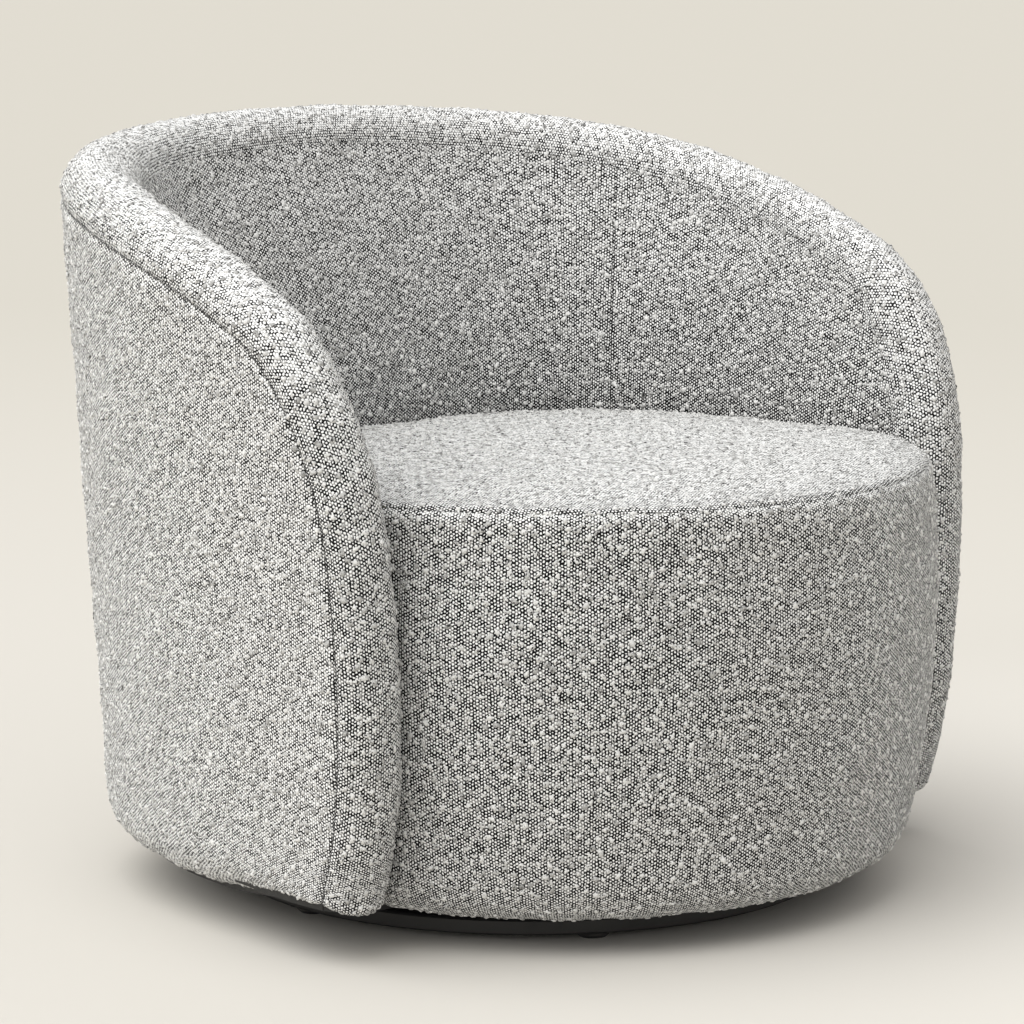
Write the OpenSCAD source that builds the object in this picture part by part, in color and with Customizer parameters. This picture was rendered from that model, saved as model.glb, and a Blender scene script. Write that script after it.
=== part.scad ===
// Swivel tub chair: a C-shaped padded shell wraps a round seat drum,
// and the whole upholstered body turns on a ball-bearing plate above a round board.
// Millimetres. +Z up, +Y to the back, origin on the floor under the swivel axis.

/* [Overall size] */
// width of the shell in plan, where it would reach the height of the back
shell_w = 860; // [780:5:940]
// overall depth, seat front to back
overall_d = 801; // [740:1:870]
// overall height to the top of the back
overall_h = 722; // [660:1:800]
// floor to the lower edge of the fabric
foot_gap = 35; // [33:0.5:45]
// radius that turns the fabric under at the foot
foot_round = 45; // [36:1:55]
// radius at the foot of each arm front
arm_foot_round = 12; // [8:0.5:16]

/* [Shell] */
// how much further than the drum's radius the shell curve reaches at the arm fronts
arm_lead = 6; // [0:1:16]
// how square the shell is in plan, 2 is an ellipse
shell_square = 2.82; // [2.6:0.02:3]
// part of its width that the shell loses towards the foot
shell_taper_share = 0.082; // [0.06:0.002:0.1]
// thickness of the arms and of the rolled top edge
wall_t = 74; // [70:0.5:80]
// angle from the back to the arm fronts, in degrees
arm_angle = 106.4; // [103:0.2:108]
// extra thickness of the inside back at seat level
back_swell = 84; // [60:1:100]
// extra thickness of the inside arms at seat level
arm_swell = 20; // [12:1:26]
// angle from the back to the seam between inside back and inside arm
inside_seam_angle = 48; // [42:1:54]

/* [Seat drum] */
// the shell's widest line in to the drum's widest line
drum_side = 76; // [72:0.5:84]
// the shell's plan centre line back to the drum's centre
drum_back = 22; // [16:1:30]
// part of its radius that the drum loses towards the foot
drum_taper_share = 0.074; // [0.06:0.002:0.1]
// floor to the flat edge of the seat
seat_h = 414; // [390:1:430]
// rise of the seat from its edge to its middle
seat_crown = 12; // [4:0.5:20]
// radius of the soft edge round the seat
seat_round = 18; // [12:0.5:24]
// how far the seat cover is tucked down beside the inside back
seat_tuck = 24; // [15:1:40]
// angle from the back at which the drum's front comes out of the crease beside an arm, at the seat
drum_front_angle = 106; // [105.8:0.1:106.4]
// the same above the plinth
drum_foot_angle = 101.7; // [101.2:0.1:102]
// the same beside the plinth and the bottom board
drum_plinth_angle = 108.5; // [108:0.1:110]

/* [Upholstery layers] */
// fabric with its lining
cover_t = 2.5; // [2:0.1:3]
// how far a seam is drawn in
seam_dip = 1.6; // [0.8:0.1:1.8]
// sheet padding over the outer panels
padding_t = 9.2; // [7:0.1:11]
// bent plywood skin
panel_t = 4; // [3:0.1:5]
// running gap between neighbouring layers
clear = 0.3; // [0.2:0.05:0.4]
// room that a straight timber leaves behind a bent skin
bend_gap = 0.8; // [0.7:0.1:1.2]
// elastic webbing
strap_t = 2; // [1.5:0.1:2.5]
// width of a webbing strap
strap_w = 55; // [40:1:60]
// distance between the middles of two straps
strap_pitch = 80; // [70:1:90]
// how far a strap lies on the seat ring
strap_lap = 36; // [26:1:44]
// black cloth under the frame
dust_t = 0.6; // [0.5:0.05:0.8]

/* [Timber frame] */
// bottom board
board_t = 16; // [14:0.5:18]
// plinth ring on the bottom board
plinth_t = 16; // [14:0.5:18]
// width of the plinth ring
plinth_w = 60; // [55:1:75]
// depth of the plinth's edge under the fabric's face
plinth_in = 7; // [5:0.5:8]
// top rail above and below the middle of the rolled edge
rail_half_h = 20; // [17:0.5:21]
// width of an upright
post_w = 48; // [40:1:60]
// depth of a front upright
front_post_d = 30; // [24:1:36]
// angle from the back at which the seat ring leaves the arms for the drum
ring_arm_angle = 92; // [88:1:93]
// the seat's flat edge down to the underside of the seat ring
seat_build = 118; // [110:1:130]
// seat ring thickness
ring_t = 18; // [15:0.5:20]
// seat ring width
ring_w = 74; // [64:1:84]
// shank diameter of a wood screw
screw_d = 4; // [3.5:0.1:4.5]
// head diameter of a wood screw
screw_head_d = 8; // [7:0.1:9]
// head height of a wood screw
screw_head_t = 2; // [1.6:0.1:2.4]
// length of a wood screw under its head
screw_l = 30; // [26:1:32]

/* [Swivel base] */
// radius of the black base board
disc_r = 296; // [270:1:310]
// thickness of the black base board
disc_t = 15; // [12:0.5:15]
// rounding of its edge
disc_edge = 2; // [1:0.1:3]
// glide diameter
glide_d = 32; // [26:1:38]
// glide height
glide_t = 7; // [6:0.1:8]
// number of glides
glide_n = 6; // [5:1:8]
// rounding of a glide's foot
glide_edge = 3; // [1:0.1:4]
// plastic left under the head of a glide's screw
glide_pad = 3; // [2.6:0.1:3.4]
// length of a glide's screw under its head
glide_screw_l = 14; // [11:0.5:15]
// edge of the board to the middle of a glide
glide_inset = 24; // [20:1:30]
// side of a square swivel plate
plate_w = 300; // [280:1:320]
// sheet thickness of a swivel plate
plate_t = 2.5; // [2:0.1:2.5]
// corner radius of a swivel plate
plate_corner = 24; // [16:1:30]
// plate corner hole from the plate's middle, along each side
plate_hole_xy = 125; // [115:1:128]
// tool hole in a swivel plate
plate_tool_hole = 22; // [16:1:24]
// dust cover's opening beyond the plate
plate_clear = 3; // [1:0.5:6]
// gap between the two plates
race_gap = 7; // [6.5:0.1:7]
// radius of the ball race
race_r = 105; // [95:1:112]
// ball diameter
ball_d = 7.4; // [7.2:0.1:7.6]
// number of balls
ball_n = 24; // [16:2:30]
// thickness of the ball cage
cage_t = 3; // [2:0.1:3.4]
// width of the ball cage
cage_w = 18; // [15:0.5:22]
// pivot rivet outer diameter
rivet_d = 24; // [20:0.5:28]
// wall of the hollow rivet
rivet_wall = 2; // [1.5:0.1:3]
// rivet flange beyond its shank
rivet_lip = 5; // [4:0.1:7]
// short plate screw length under the head
plate_screw_l = 11; // [9:0.5:11]

/* [Hidden] */
$fn = 48;

// stack of the base, from the floor up
disc_z = glide_t;
lower_plate_z = disc_z + disc_t;
upper_plate_z = lower_plate_z + plate_t + race_gap;
board_z = upper_plate_z + plate_t;
board_top = board_z + board_t;
rivet_clear_r = rivet_d / 2 + rivet_lip + 2 * clear;
plinth_top = board_top + plinth_t;
ring_z = seat_h - seat_build;
ring_top = ring_z + ring_t;

// plan of the shell and of the drum
drum_r = shell_w / 2 - drum_side;
drum_y = drum_r - overall_d / 2;
plan_y = drum_y - drum_back;
back_reach = overall_d / 2 - plan_y;
arm_reach = drum_r + arm_lead;
taper_top = overall_h - wall_t / 2;
roll_r = wall_t / 2;
// turn round the seat's soft edge at which the seam of the drum's front lies
seam_turn = 45;
seam_z = seat_h - seat_round * (1 - cos(seam_turn));
// how fast the swell of the inside back fades to the sides
swell_power = 1.6;
// length of one degree round the shell, for spacing the edge curve
degree_len = shell_w / 2 * PI / 180;

// depths of the layers under the fabric's face
cover_in = cover_t;
// gap between soft layers, which also takes up the flat facets of curved faces
soft_gap = 3 * clear;
padding_out = cover_in + soft_gap;
padding_in = padding_out + padding_t;
panel_out = padding_in + soft_gap;
panel_in = panel_out + panel_t;
frame_out = panel_in + clear + bend_gap;
frame_in = wall_t - frame_out;
strap_out = frame_in + 2 * bend_gap;
foam_out = strap_out + strap_t + 2 * clear;

// top edge of the shell above the plinth: shares of the arm angle and of the middle height of the rolled edge
edge_shares = [[0.993, 0.219], [1, 0.438], [0.977, 0.628], [0.936, 0.73], [0.893, 0.787], [0.799, 0.842],
    [0.658, 0.895], [0.451, 0.952], [0.235, 0.985], [0, 1], [-0.235, 0.985]];
// shares of the arm angle at the foot and at the plinth
foot_angle_share = 0.962;
plinth_angle_share = 0.972;
// columns of the shell: shares of the way from the inside seam to the top of the arm front, then to
// the middle
arm_column_shares = [1, 0.91, 0.82, 0.72, 0.61, 0.5, 0.39, 0.275, 0.17, 0.08];
back_column_shares = [1, 0.9, 0.81, 0.71, 0.62, 0.5, 0.37, 0.2, 0];
// the arm front runs from the curve's first point to this one, where the arm's top starts
front_end = 5;
// points of the curve at which the layers have rows, with close rows in the turned-under foot
foot_steps = [for (i = [0:5]) i / 3];
upper_steps = [for (i = [4:9]) i / 2];
panel_steps = [2, 3, 4];
inside_steps = [3.5, 3.75, 4, 4.5];
// share of an inside arm's columns beyond which they run down the crease beside the drum
crease_share = 0.9;
// turn of the foot at which the fabric's edge lies on the board
foot_turn = 14;
// part of the seat cover's edge that is round, before its tucked skirt
tuck_share = 0.7;
// smoothing of the foot radius next to the arm fronts, in degrees
foot_blend = 22;
// points on each side of a flat outline
side_points = 33;
// how far a cutting solid stands out of what it cuts
cut = 1;

function clamp01(x) = max(0, min(1, x));
function smooth(x) = clamp01(x) * clamp01(x) * (3 - 2 * clamp01(x));
function mix(a, b, t) = a + (b - a) * t;
function unit(v) = v / norm(v);
function last(list) = list[len(list) - 1];
function reversed(list) = [for (i = [len(list) - 1:-1:0]) list[i]];

// top edge curve from the foot of an arm front, over the plinth and through the points of edge_shares
foot_z = foot_gap + foot_round * (1 - cos(foot_turn));
edge_pts = concat(
    [[foot_angle_share * arm_angle, foot_z], [plinth_angle_share * arm_angle, plinth_top + clear]],
    [for (s = edge_shares) [s[0] * arm_angle, s[1] * (overall_h - roll_r)]]);
edge_last = len(edge_pts) - 2;
bottom_angle = edge_pts[0][0];
front_top = edge_pts[front_end];
function edge_len(k) = let (step = edge_pts[k + 1] - edge_pts[k]) norm([step[0] * degree_len, step[1]]);
function edge_slope(k) = k == 0
    ? (edge_pts[1] - edge_pts[0]) / edge_len(0)
    : ((edge_pts[k + 1] - edge_pts[k]) / edge_len(k) * edge_len(k - 1)
        + (edge_pts[k] - edge_pts[k - 1]) / edge_len(k - 1) * edge_len(k)) / (edge_len(k) + edge_len(k - 1));
// [angle, height] of the edge, 0 at the foot of the right arm, edge_last at the middle of the back
function edge_at(s) = let (k = min(edge_last - 1, floor(s)), t = s - k, h = edge_len(k))
    edge_pts[k] * (1 + 2 * t) * (1 - t) * (1 - t) + edge_slope(k) * h * t * (1 - t) * (1 - t)
    + edge_pts[k + 1] * t * t * (3 - 2 * t) + edge_slope(k + 1) * h * t * t * (t - 1);
edge_table_n = 88;
edge_table = [for (i = [0:edge_table_n]) let (s = i * edge_last / edge_table_n) concat([s], edge_at(s))];
front_table = [for (e = edge_table) if (e[0] <= front_end) [e[2], e[1]]];
top_table = [for (e = edge_table) if (e[0] >= front_end - 1) [e[1], e[0]]];
// angle of the arm front's edge at a height, and the edge at an angle
function front_angle(z) = lookup(z, front_table);
function edge_at_angle(a) = edge_at(lookup(a, top_table));

// plan of the shell in polar form about the plan centre, 0 at the back, positive towards +X
function narrow(z) = 1 - shell_taper_share * (taper_top - min(z, taper_top)) / (taper_top - foot_gap);
function plan_r(p, a, b, f) =
    pow(pow(abs(sin(p)) / a, shell_square) + pow(abs(cos(p)) / (cos(p) >= 0 ? b : f), shell_square),
        -1 / shell_square);
function plan_pt(p, z, inset, zz) = let (k = narrow(z),
    r = plan_r(p, shell_w / 2 * k - inset, back_reach * k - inset, arm_reach * k - inset))
    [r * sin(p), plan_y + r * cos(p), zz];

// foot of a wall with corner radius q: turn angle, inset and height at depth d under the face
function turn(z, q) = z < foot_gap + q ? acos(1 - max(0, z - foot_gap) / q) : 90;
function foot_inset(z, q, d) = q - (q - d) * sin(turn(z, q));
function foot_rise(z, q, d) = z < foot_gap + q ? foot_gap + q - (q - d) * cos(turn(z, q)) : z;
function foot_q(p) = mix(arm_foot_round, foot_round, smooth((bottom_angle - abs(p)) / foot_blend));

// point of the shell at depth d under its outer face
function shell_pt(p, z, d) = let (q = foot_q(p), zn = max(z, foot_gap + q * (1 - cos(foot_turn))))
    plan_pt(p, zn, foot_inset(zn, q, d), foot_rise(zn, q, d));
// inner face of the shell: depth from the outer face
function swell(p) = smooth((arm_angle - abs(p)) / foot_blend)
    * (arm_swell + (back_swell - arm_swell) * pow(max(0, cos(p)), swell_power));
function inner_depth(p, z) = let (top = edge_at_angle(abs(p))[1])
    wall_t + swell(p) * smooth((top - z) / (top - seat_h));
function inner_pt(p, z, d) = plan_pt(p, z, inner_depth(p, z) - d, z);

// drum in polar form about the plan centre
function drum_radius(z) = drum_r * (1 - drum_taper_share * max(0, seat_h - z) / (seat_h - foot_gap));
function drum_polar(p, r) = let (c = drum_y - plan_y) c * cos(p) + sqrt(r * r - pow(c * sin(p), 2));
function drum_at(p, r, z) = let (q = drum_polar(p, r)) [q * sin(p), plan_y + q * cos(p), z];
function drum_pt(p, z, d) = let (zn = max(z, foot_z))
    drum_at(p, drum_radius(zn) - foot_inset(zn, foot_round, d), foot_rise(zn, foot_round, d));

// columns of the whole edge from the right arm's foot to the left's: angle, height, point of the curve
right_edge = concat([for (k = concat(foot_steps, upper_steps)) concat(edge_at(k), k)],
    [for (m = arm_column_shares) let (a = mix(inside_seam_angle, front_top[0], m))
        [a, edge_at_angle(a)[1], max(front_end, lookup(a, top_table))]],
    [for (m = back_column_shares) let (a = inside_seam_angle * m)
        [a, edge_at_angle(a)[1], lookup(a, top_table)]]);
plain_cols = concat(right_edge,
    [for (i = [len(right_edge) - 2:-1:0]) let (e = right_edge[i]) [-e[0], e[1], e[2]]]);

// rolled edge at a column: its middle, half its width outwards, and as a fourth value the way over the edge
function edge_mid(e) = plan_pt(e[0], e[1], roll_r, e[1]);
function edge_out(e) = (plan_pt(e[0], e[1], 0, e[1]) - plan_pt(e[0], e[1], wall_t, e[1])) / 2;
function level_run(e) = plan_pt(e[0] + 1, e[1], roll_r, 0) - plan_pt(e[0] - 1, e[1], roll_r, 0);
function upward_run(e) = let (low = e[1] - foot_round)
    plan_pt(e[0], e[1], roll_r, e[1]) - plan_pt(e[0], low, roll_r, low);
function face_normal(e) = cross(upward_run(e), level_run(e));
full_cols = [for (i = [0:len(plain_cols) - 1])
    let (a = edge_mid(plain_cols[max(0, i - 1)]), b = edge_mid(plain_cols[min(len(plain_cols) - 1, i + 1)]))
    concat(plain_cols[i], [unit(cross(face_normal(plain_cols[i]), b - a))])];
wall_cols = [for (e = full_cols) if (e[2] >= front_end) e];
arm_columns = len(arm_column_shares);
function some_cols(first, last) = [for (i = [first:last]) wall_cols[i]];
right_arm_cols = some_cols(0, arm_columns);
back_cols = some_cols(arm_columns, len(wall_cols) - 1 - arm_columns);
left_arm_cols = some_cols(len(wall_cols) - 1 - arm_columns, len(wall_cols) - 1);

// point of the rolled edge at a turn from its outer side over the top, r from the middle
function edge_shrink(z) = z < foot_gap + arm_foot_round ? foot_inset(z, arm_foot_round, 0) : 0;
function roll_pt(e, a, r) = let (o = edge_out(e), k = (r - edge_shrink(e[1])) / roll_r)
    edge_mid(e) + o * k * cos(a) + e[3] * norm(o) * k * sin(a);
function rail_pt(e, x, y, over) = edge_mid(e) + unit(edge_out(e)) * x + over * y;

// plan angle of a wall column at a height: upright in the back, along the arm front's edge at the ends
function wall_angle(e, z) = let (q = e[0] / front_top[0])
    q * front_top[0] + pow(q, 4) * sign(q) * (front_angle(min(z, front_top[1])) - front_top[0]);
// rows of a layer as shares of its height, through given points of the arm front's edge
function rows_from(z0, steps) =
    concat([0], [for (k = steps) (edge_at(k)[1] - z0) / (front_top[1] - z0)], [1]);

// closed solid along a row of equal loops; each loop runs out along one face and back along the other;
// the diagonals of its left half mirror those of its right half
module swept(loops) {
    n = len(loops);
    m = len(loops[0]);
    sides = [for (i = [0:n - 2], k = [0:m - 1])
        let (a = i * m + k, b = i * m + (k + 1) % m, c = a + m, d = b + m)
        each (loops[i][0][0] + loops[i + 1][0][0] > 0 ? [[a, b, c], [b, d, c]] : [[a, b, d], [a, d, c]])];
    ends = [for (e = [0, n - 1], k = [0:m / 2 - 2])
        let (a = e * m + k, b = a + 1, c = e * m + m - 1 - k, d = c - 1)
        each e == 0 ? [[a, c, b], [b, c, d]] : [[a, b, c], [b, d, c]]];
    polyhedron(points = [for (l = loops) each l], faces = concat(sides, ends));
}

// closed solid through a stack of equal rings with a flat end on the first and the last
module stacked(rings) {
    n = len(rings);
    m = len(rings[0]);
    function middle(r) = [for (v = r) 1] * r / m;
    sides = [for (i = [0:n - 2], k = [0:m - 1])
        let (a = i * m + k, b = i * m + (k + 1) % m, c = a + m, d = b + m)
        each [[a, b, c], [b, d, c]]];
    caps = [for (k = [0:m - 1]) let (k1 = (k + 1) % m)
        each [[n * m, k1, k], [n * m + 1, (n - 1) * m + k, (n - 1) * m + k1]]];
    polyhedron(points = concat([for (r = rings) each r], [middle(rings[0]), middle(rings[n - 1])]),
        faces = concat(sides, caps));
}

// loops of a layer of the outer wall between two depths, from height z0 up to the edge
function wall_loops(d0, d1, z0, steps, dip) = let (n = len(wall_cols) - 1, rows = rows_from(z0, steps))
    [for (i = [0:n]) let (e = wall_cols[i])
        concat([for (m = rows) let (z = mix(z0, e[1], m), seam = m == 1 || i == 0 || i == n)
            shell_pt(wall_angle(e, z), z, d0 + (seam ? dip : 0))],
        [for (m = reversed(rows)) let (z = mix(z0, e[1], m)) shell_pt(wall_angle(e, z), z, d1)])];

// loops of a layer of the inner wall, from its back up and over to its face at depth d
inside_z = ring_top + 2 * strap_t + clear;
inside_rows = rows_from(inside_z, inside_steps);
// the columns next to an arm front run down the crease to the plinth
function inside_foot(e) = abs(e[0]) > mix(inside_seam_angle, front_top[0], crease_share)
    ? plinth_top + clear : inside_z;
function inner_loops(cols, d, to_frame, dip) = let (n = len(cols) - 1)
    [for (i = [0:n]) let (e = cols[i], z0 = inside_foot(e))
        concat([for (m = inside_rows) let (z = mix(z0, e[1], m), p = wall_angle(e, z))
            to_frame ? plan_pt(p, z, foam_out, z) : inner_pt(p, z, cover_in)],
        [for (m = reversed(inside_rows)) let (z = mix(z0, e[1], m), seam = m == 1 || i == 0 || i == n)
            inner_pt(wall_angle(e, z), z, d + (seam ? dip : 0))])];

// level slab of the body's outline at height z and depth d, with the shell as far as an angle: shell and
// drum, and the arm fronts where the depth leaves any
module body_slab(z, d, reach, at, thickness) {
    inner = [for (side = [-1, 1]) plan_pt(side * reach, z, max(d, wall_t), 0)];
    rim = [for (i = [-side_points:side_points]) let (p = i / side_points * reach, f = foot_q(p))
        plan_pt(p, z, foot_inset(max(z, foot_gap + f * (1 - cos(foot_turn))), f, d), 0)];
    translate([0, 0, at]) {
        linear_extrude(thickness)
            polygon([for (v = concat([inner[0]], rim, [inner[1]])) [v[0], v[1]]]);
        if (d < roll_r)
            for (side = [-1, 1])
                translate(edge_mid([side * bottom_angle, z]) - [0, 0, z])
                    cylinder(r = roll_r - edge_shrink(z) - d, h = thickness);
        drum_slab(drum_radius(z) - foot_inset(z, foot_round, d), thickness);
    }
}

// level slab of the drum in front of the plan centre line
drum_sides = 96;
module drum_slab(r, thickness) {
    intersection() {
        translate([0, drum_y])
            cylinder(r = r, h = thickness, $fn = drum_sides);
        translate([-r, drum_y - r])
            cube([2 * r, plan_y - drum_y + r, thickness]);
    }
}

// upright at a plan angle with a straight outer face that runs from the foot point to the head point
module upright(foot, head, turn, depth) {
    lean = norm([head[0], head[1]] - [foot[0], foot[1]]);
    translate([foot[0], foot[1]])
        rotate(90 - turn)
            rotate([90, 0, 0])
                linear_extrude(post_w, center = true)
                    polygon([[0, foot[2]], [lean, head[2]], [lean - depth, head[2]], [-depth, foot[2]]]);
}

// wood screw pointing up from the underside of its head at z = 0; grow widens it for its hole
module screw(length, grow) {
    translate([0, 0, -screw_head_t - grow])
        cylinder(d = screw_head_d + 2 * grow, h = screw_head_t + 2 * grow, $fn = 24);
    cylinder(d = screw_d + 2 * grow, h = length + grow, $fn = 16);
}

module at_glides() {
    for (i = [0:glide_n - 1])
        rotate(i * 360 / glide_n)
            translate([disc_r - glide_inset, 0])
                children();
}

module at_plate_corners() {
    for (x = [-1, 1], y = [-1, 1])
        translate([x * plate_hole_xy, y * plate_hole_xy])
            children();
}

glide_screw_z = glide_t - glide_pad;
module glide_screw_set(grow) {
    at_glides()
        translate([0, 0, glide_screw_z])
            screw(glide_screw_l, grow);
}

module lower_screw_set(grow) {
    at_plate_corners()
        translate([0, 0, lower_plate_z + plate_t])
            mirror([0, 0, 1])
                screw(plate_t + plate_screw_l, grow);
}

module upper_screw_set(grow) {
    at_plate_corners()
        translate([0, 0, upper_plate_z])
            screw(plate_t + plate_screw_l, grow);
}

// screws up through the bottom board into the plinth ring, midway in the ring's width
plinth_screw_angles = [0, 35, 70, 128, 160];
function plinth_screw_r(p) = p < bottom_angle
    ? norm(plan_pt(p, plinth_top, plinth_w / 2 + padding_in, 0) - [0, plan_y, 0])
    : drum_polar(p, drum_radius(board_z) - foot_round);
module plinth_screw_set(grow) {
    for (side = [-1, 1], p = plinth_screw_angles)
        if (p > 0 || side > 0)
            translate([0, plan_y, board_z + screw_head_t + clear])
                rotate(90 - side * p)
                    translate([plinth_screw_r(p), 0])
                        screw(screw_l, grow);
}

back_post_angles = [-76, -38, 0, 38, 76];
front_post_angles = [-150, -114, 114, 150];
cleat_h = post_w;
// points of the frame's inner face behind a back post and of its outer face behind the drum's front
function cleat_pt(p, z) = plan_pt(p, z, strap_out, z);
function cleat_turn(p) = let (v = level_run([p, ring_z])) atan2(-v[1], v[0]);
function front_post_pt(p, z) = let (r = drum_radius(z) - foot_inset(z, foot_round, panel_in + 2 * bend_gap))
    [r * sin(p), drum_y + r * cos(p), z];
// children at the places of the seat ring's screws
module at_ring_screws() {
    for (p = back_post_angles)
        translate(cleat_pt(p, ring_z) - [0, 0, ring_z])
            rotate(90 - cleat_turn(p))
                translate([-front_post_d / 2, 0])
                    children();
    for (p = front_post_angles)
        translate(front_post_pt(p, ring_z) - [0, 0, ring_z])
            rotate(90 - p)
                translate([-front_post_d / 2, 0])
                    children();
}

module seat_ring_screw_set(grow) {
    at_ring_screws()
        translate([0, 0, ring_top - screw_head_t - clear])
            mirror([0, 0, 1])
                screw(screw_l, grow);
}

module glides() {
    color("#1b1b1c")
        difference() {
            at_glides()
                rotate_extrude()
                    polygon([[0, 0], [glide_d / 2 - glide_edge, 0], [glide_d / 2, glide_edge],
                        [glide_d / 2 - glide_edge / 2, glide_t], [0, glide_t]]);
            glide_screw_set(clear);
            at_glides()
                translate([0, 0, -cut])
                    cylinder(d = screw_head_d + 2 * clear, h = glide_screw_z + cut, $fn = 24);
        }
}

module glide_screws() {
    color("#b9babc")
        glide_screw_set(0);
}

module base_disc() {
    color("#161617")
        difference() {
            translate([0, 0, disc_z])
                rotate_extrude($fn = 128)
                    polygon([[0, 0], [disc_r - disc_edge, 0], [disc_r, disc_edge],
                        [disc_r, disc_t - disc_edge], [disc_r - disc_edge, disc_t], [0, disc_t]]);
            translate([0, 0, disc_z - cut])
                cylinder(r = rivet_clear_r, h = disc_t + 2 * cut);
            glide_screw_set(clear);
            lower_screw_set(clear);
        }
}

// rounded square plate with its middle hole and four tool holes
module swivel_plate(z) {
    translate([0, 0, z])
        linear_extrude(plate_t)
            difference() {
                union() {
                    square([plate_w, plate_w - 2 * plate_corner], center = true);
                    square([plate_w - 2 * plate_corner, plate_w], center = true);
                    for (x = [-1, 1], y = [-1, 1])
                        translate([x, y] * (plate_w / 2 - plate_corner))
                            circle(r = plate_corner);
                }
                circle(d = rivet_d + 2 * clear);
                for (a = [0:90:270])
                    rotate(a)
                        translate([(race_r + cage_w / 2 + plate_w / 2) / 2, 0])
                            circle(d = plate_tool_hole);
            }
}

// ring-shaped groove that the balls run in
module race() {
    translate([0, 0, lower_plate_z + plate_t + race_gap / 2])
        rotate_extrude($fn = 96)
            translate([race_r, 0])
                circle(d = ball_d + 2 * clear, $fn = 32);
}

module lower_swivel_plate() {
    color("#8f9193")
        difference() {
            swivel_plate(lower_plate_z);
            race();
            lower_screw_set(clear);
        }
}

module lower_plate_screws() {
    color("#b9babc")
        lower_screw_set(0);
}

module pivot_rivet() {
    color("#9a9c9e")
        rotate_extrude()
            polygon([[rivet_d / 2 - rivet_wall, lower_plate_z - rivet_wall],
                [rivet_d / 2 + rivet_lip, lower_plate_z - rivet_wall],
                [rivet_d / 2 + rivet_lip, lower_plate_z],
                [rivet_d / 2, lower_plate_z],
                [rivet_d / 2, board_z + clear],
                [rivet_d / 2 + rivet_lip, board_z + clear],
                [rivet_d / 2 + rivet_lip, board_z + clear + rivet_wall],
                [rivet_d / 2 - rivet_wall, board_z + clear + rivet_wall]]);
}

module ball_cage() {
    color("#d8d6ce")
        difference() {
            translate([0, 0, lower_plate_z + plate_t + (race_gap - cage_t) / 2])
                difference() {
                    cylinder(r = race_r + cage_w / 2, h = cage_t, $fn = 96);
                    translate([0, 0, -cut])
                        cylinder(r = race_r - cage_w / 2, h = cage_t + 2 * cut, $fn = 96);
                }
            for (i = [0:ball_n - 1])
                rotate(i * 360 / ball_n)
                    translate([race_r, 0, lower_plate_z])
                        cylinder(d = ball_d + 2 * clear, h = race_gap + 2 * plate_t);
        }
}

module bearing_balls() {
    color("#c9cbcd")
        for (i = [0:ball_n - 1])
            rotate(i * 360 / ball_n)
                translate([race_r, 0, lower_plate_z + plate_t + race_gap / 2])
                    sphere(d = ball_d, $fn = 24);
}

module upper_swivel_plate() {
    color("#8f9193")
        difference() {
            swivel_plate(upper_plate_z);
            race();
            upper_screw_set(clear);
        }
}

module upper_plate_screws() {
    color("#b9babc")
        upper_screw_set(0);
}

module bottom_board() {
    color("#c7a877")
        difference() {
            body_slab(foot_z, cover_in + 2 * bend_gap + clear, bottom_angle, board_z, board_t);
            translate([0, 0, board_z - cut])
                cylinder(r = rivet_clear_r, h = board_t + 2 * cut);
            upper_screw_set(clear);
            plinth_screw_set(clear);
        }
}

module dust_cover() {
    color("#202022")
        difference() {
            body_slab(foot_z, cover_in + 2 * bend_gap + clear + dust_t, bottom_angle,
                board_z - dust_t, dust_t);
            translate([0, 0, board_z])
                cube([plate_w + 2 * plate_clear, plate_w + 2 * plate_clear, 2 * cut], center = true);
        }
}

module plinth_ring() {
    color("#cdb185")
        difference() {
            body_slab(board_top, plinth_in, bottom_angle, board_top, plinth_t);
            body_slab(foot_gap + foot_round, plinth_in + plinth_w, ring_arm_angle, board_top - cut,
                plinth_t + 2 * cut);
            plinth_screw_set(clear);
        }
}

module plinth_screws() {
    color("#b9babc")
        plinth_screw_set(0);
}

// loop of a frame strip at a column: a rectangle across the wall, square to a direction
function frame_loop(e, over) = let (w = roll_r - frame_out, h = rail_half_h)
    [rail_pt(e, w, -h, over), rail_pt(e, w, h, over), rail_pt(e, -w, h, over), rail_pt(e, -w, -h, over)];
function level_over(e) = unit(level_run(e)) * sign(e[0]);

module arm_front_posts() {
    color("#cdb185")
        for (side = [-1, 1])
            swept([for (e = full_cols) if (e[2] >= 1 && e[2] <= front_end && e[0] * side > 0)
                frame_loop(e, level_over(e))]);
}

rail_loops = [for (e = wall_cols) frame_loop(e, e[2] == front_end ? level_over(e) : e[3])];
// height of the rail's underside at a plan angle
rail_under = [for (l = rail_loops) [atan2(l[0][0], l[0][1] - plan_y), l[0][2]]];

module top_rail() {
    color("#cdb185")
        swept(rail_loops);
}

// outer and inner point of a back post's side at plan angle p, at its foot or under the rail
function post_side(p, top) = let (z = top ? lookup(p, rail_under) - clear : plinth_top + clear)
    [plan_pt(p, z, foot_inset(z, foot_round, frame_out), z), plan_pt(p, z, wall_t - frame_out, z)];

module back_posts() {
    half = post_w / 2 / degree_len;
    color("#cdb185")
        for (p = back_post_angles)
            swept([for (top = [false, true]) let (a = post_side(p - half, top), b = post_side(p + half, top))
                [a[0], b[0], b[1], a[1]]]);
}

module front_posts() {
    color("#cdb185")
        difference() {
            for (p = front_post_angles)
                upright(front_post_pt(p, plinth_top), front_post_pt(p, ring_z), p, front_post_d);
            seat_ring_screw_set(clear);
        }
}

module seat_cleats() {
    color("#cdb185")
        difference() {
            for (p = back_post_angles)
                upright(cleat_pt(p, ring_z - cleat_h), cleat_pt(p, ring_z), cleat_turn(p), front_post_d);
            seat_ring_screw_set(clear);
        }
}

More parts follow.
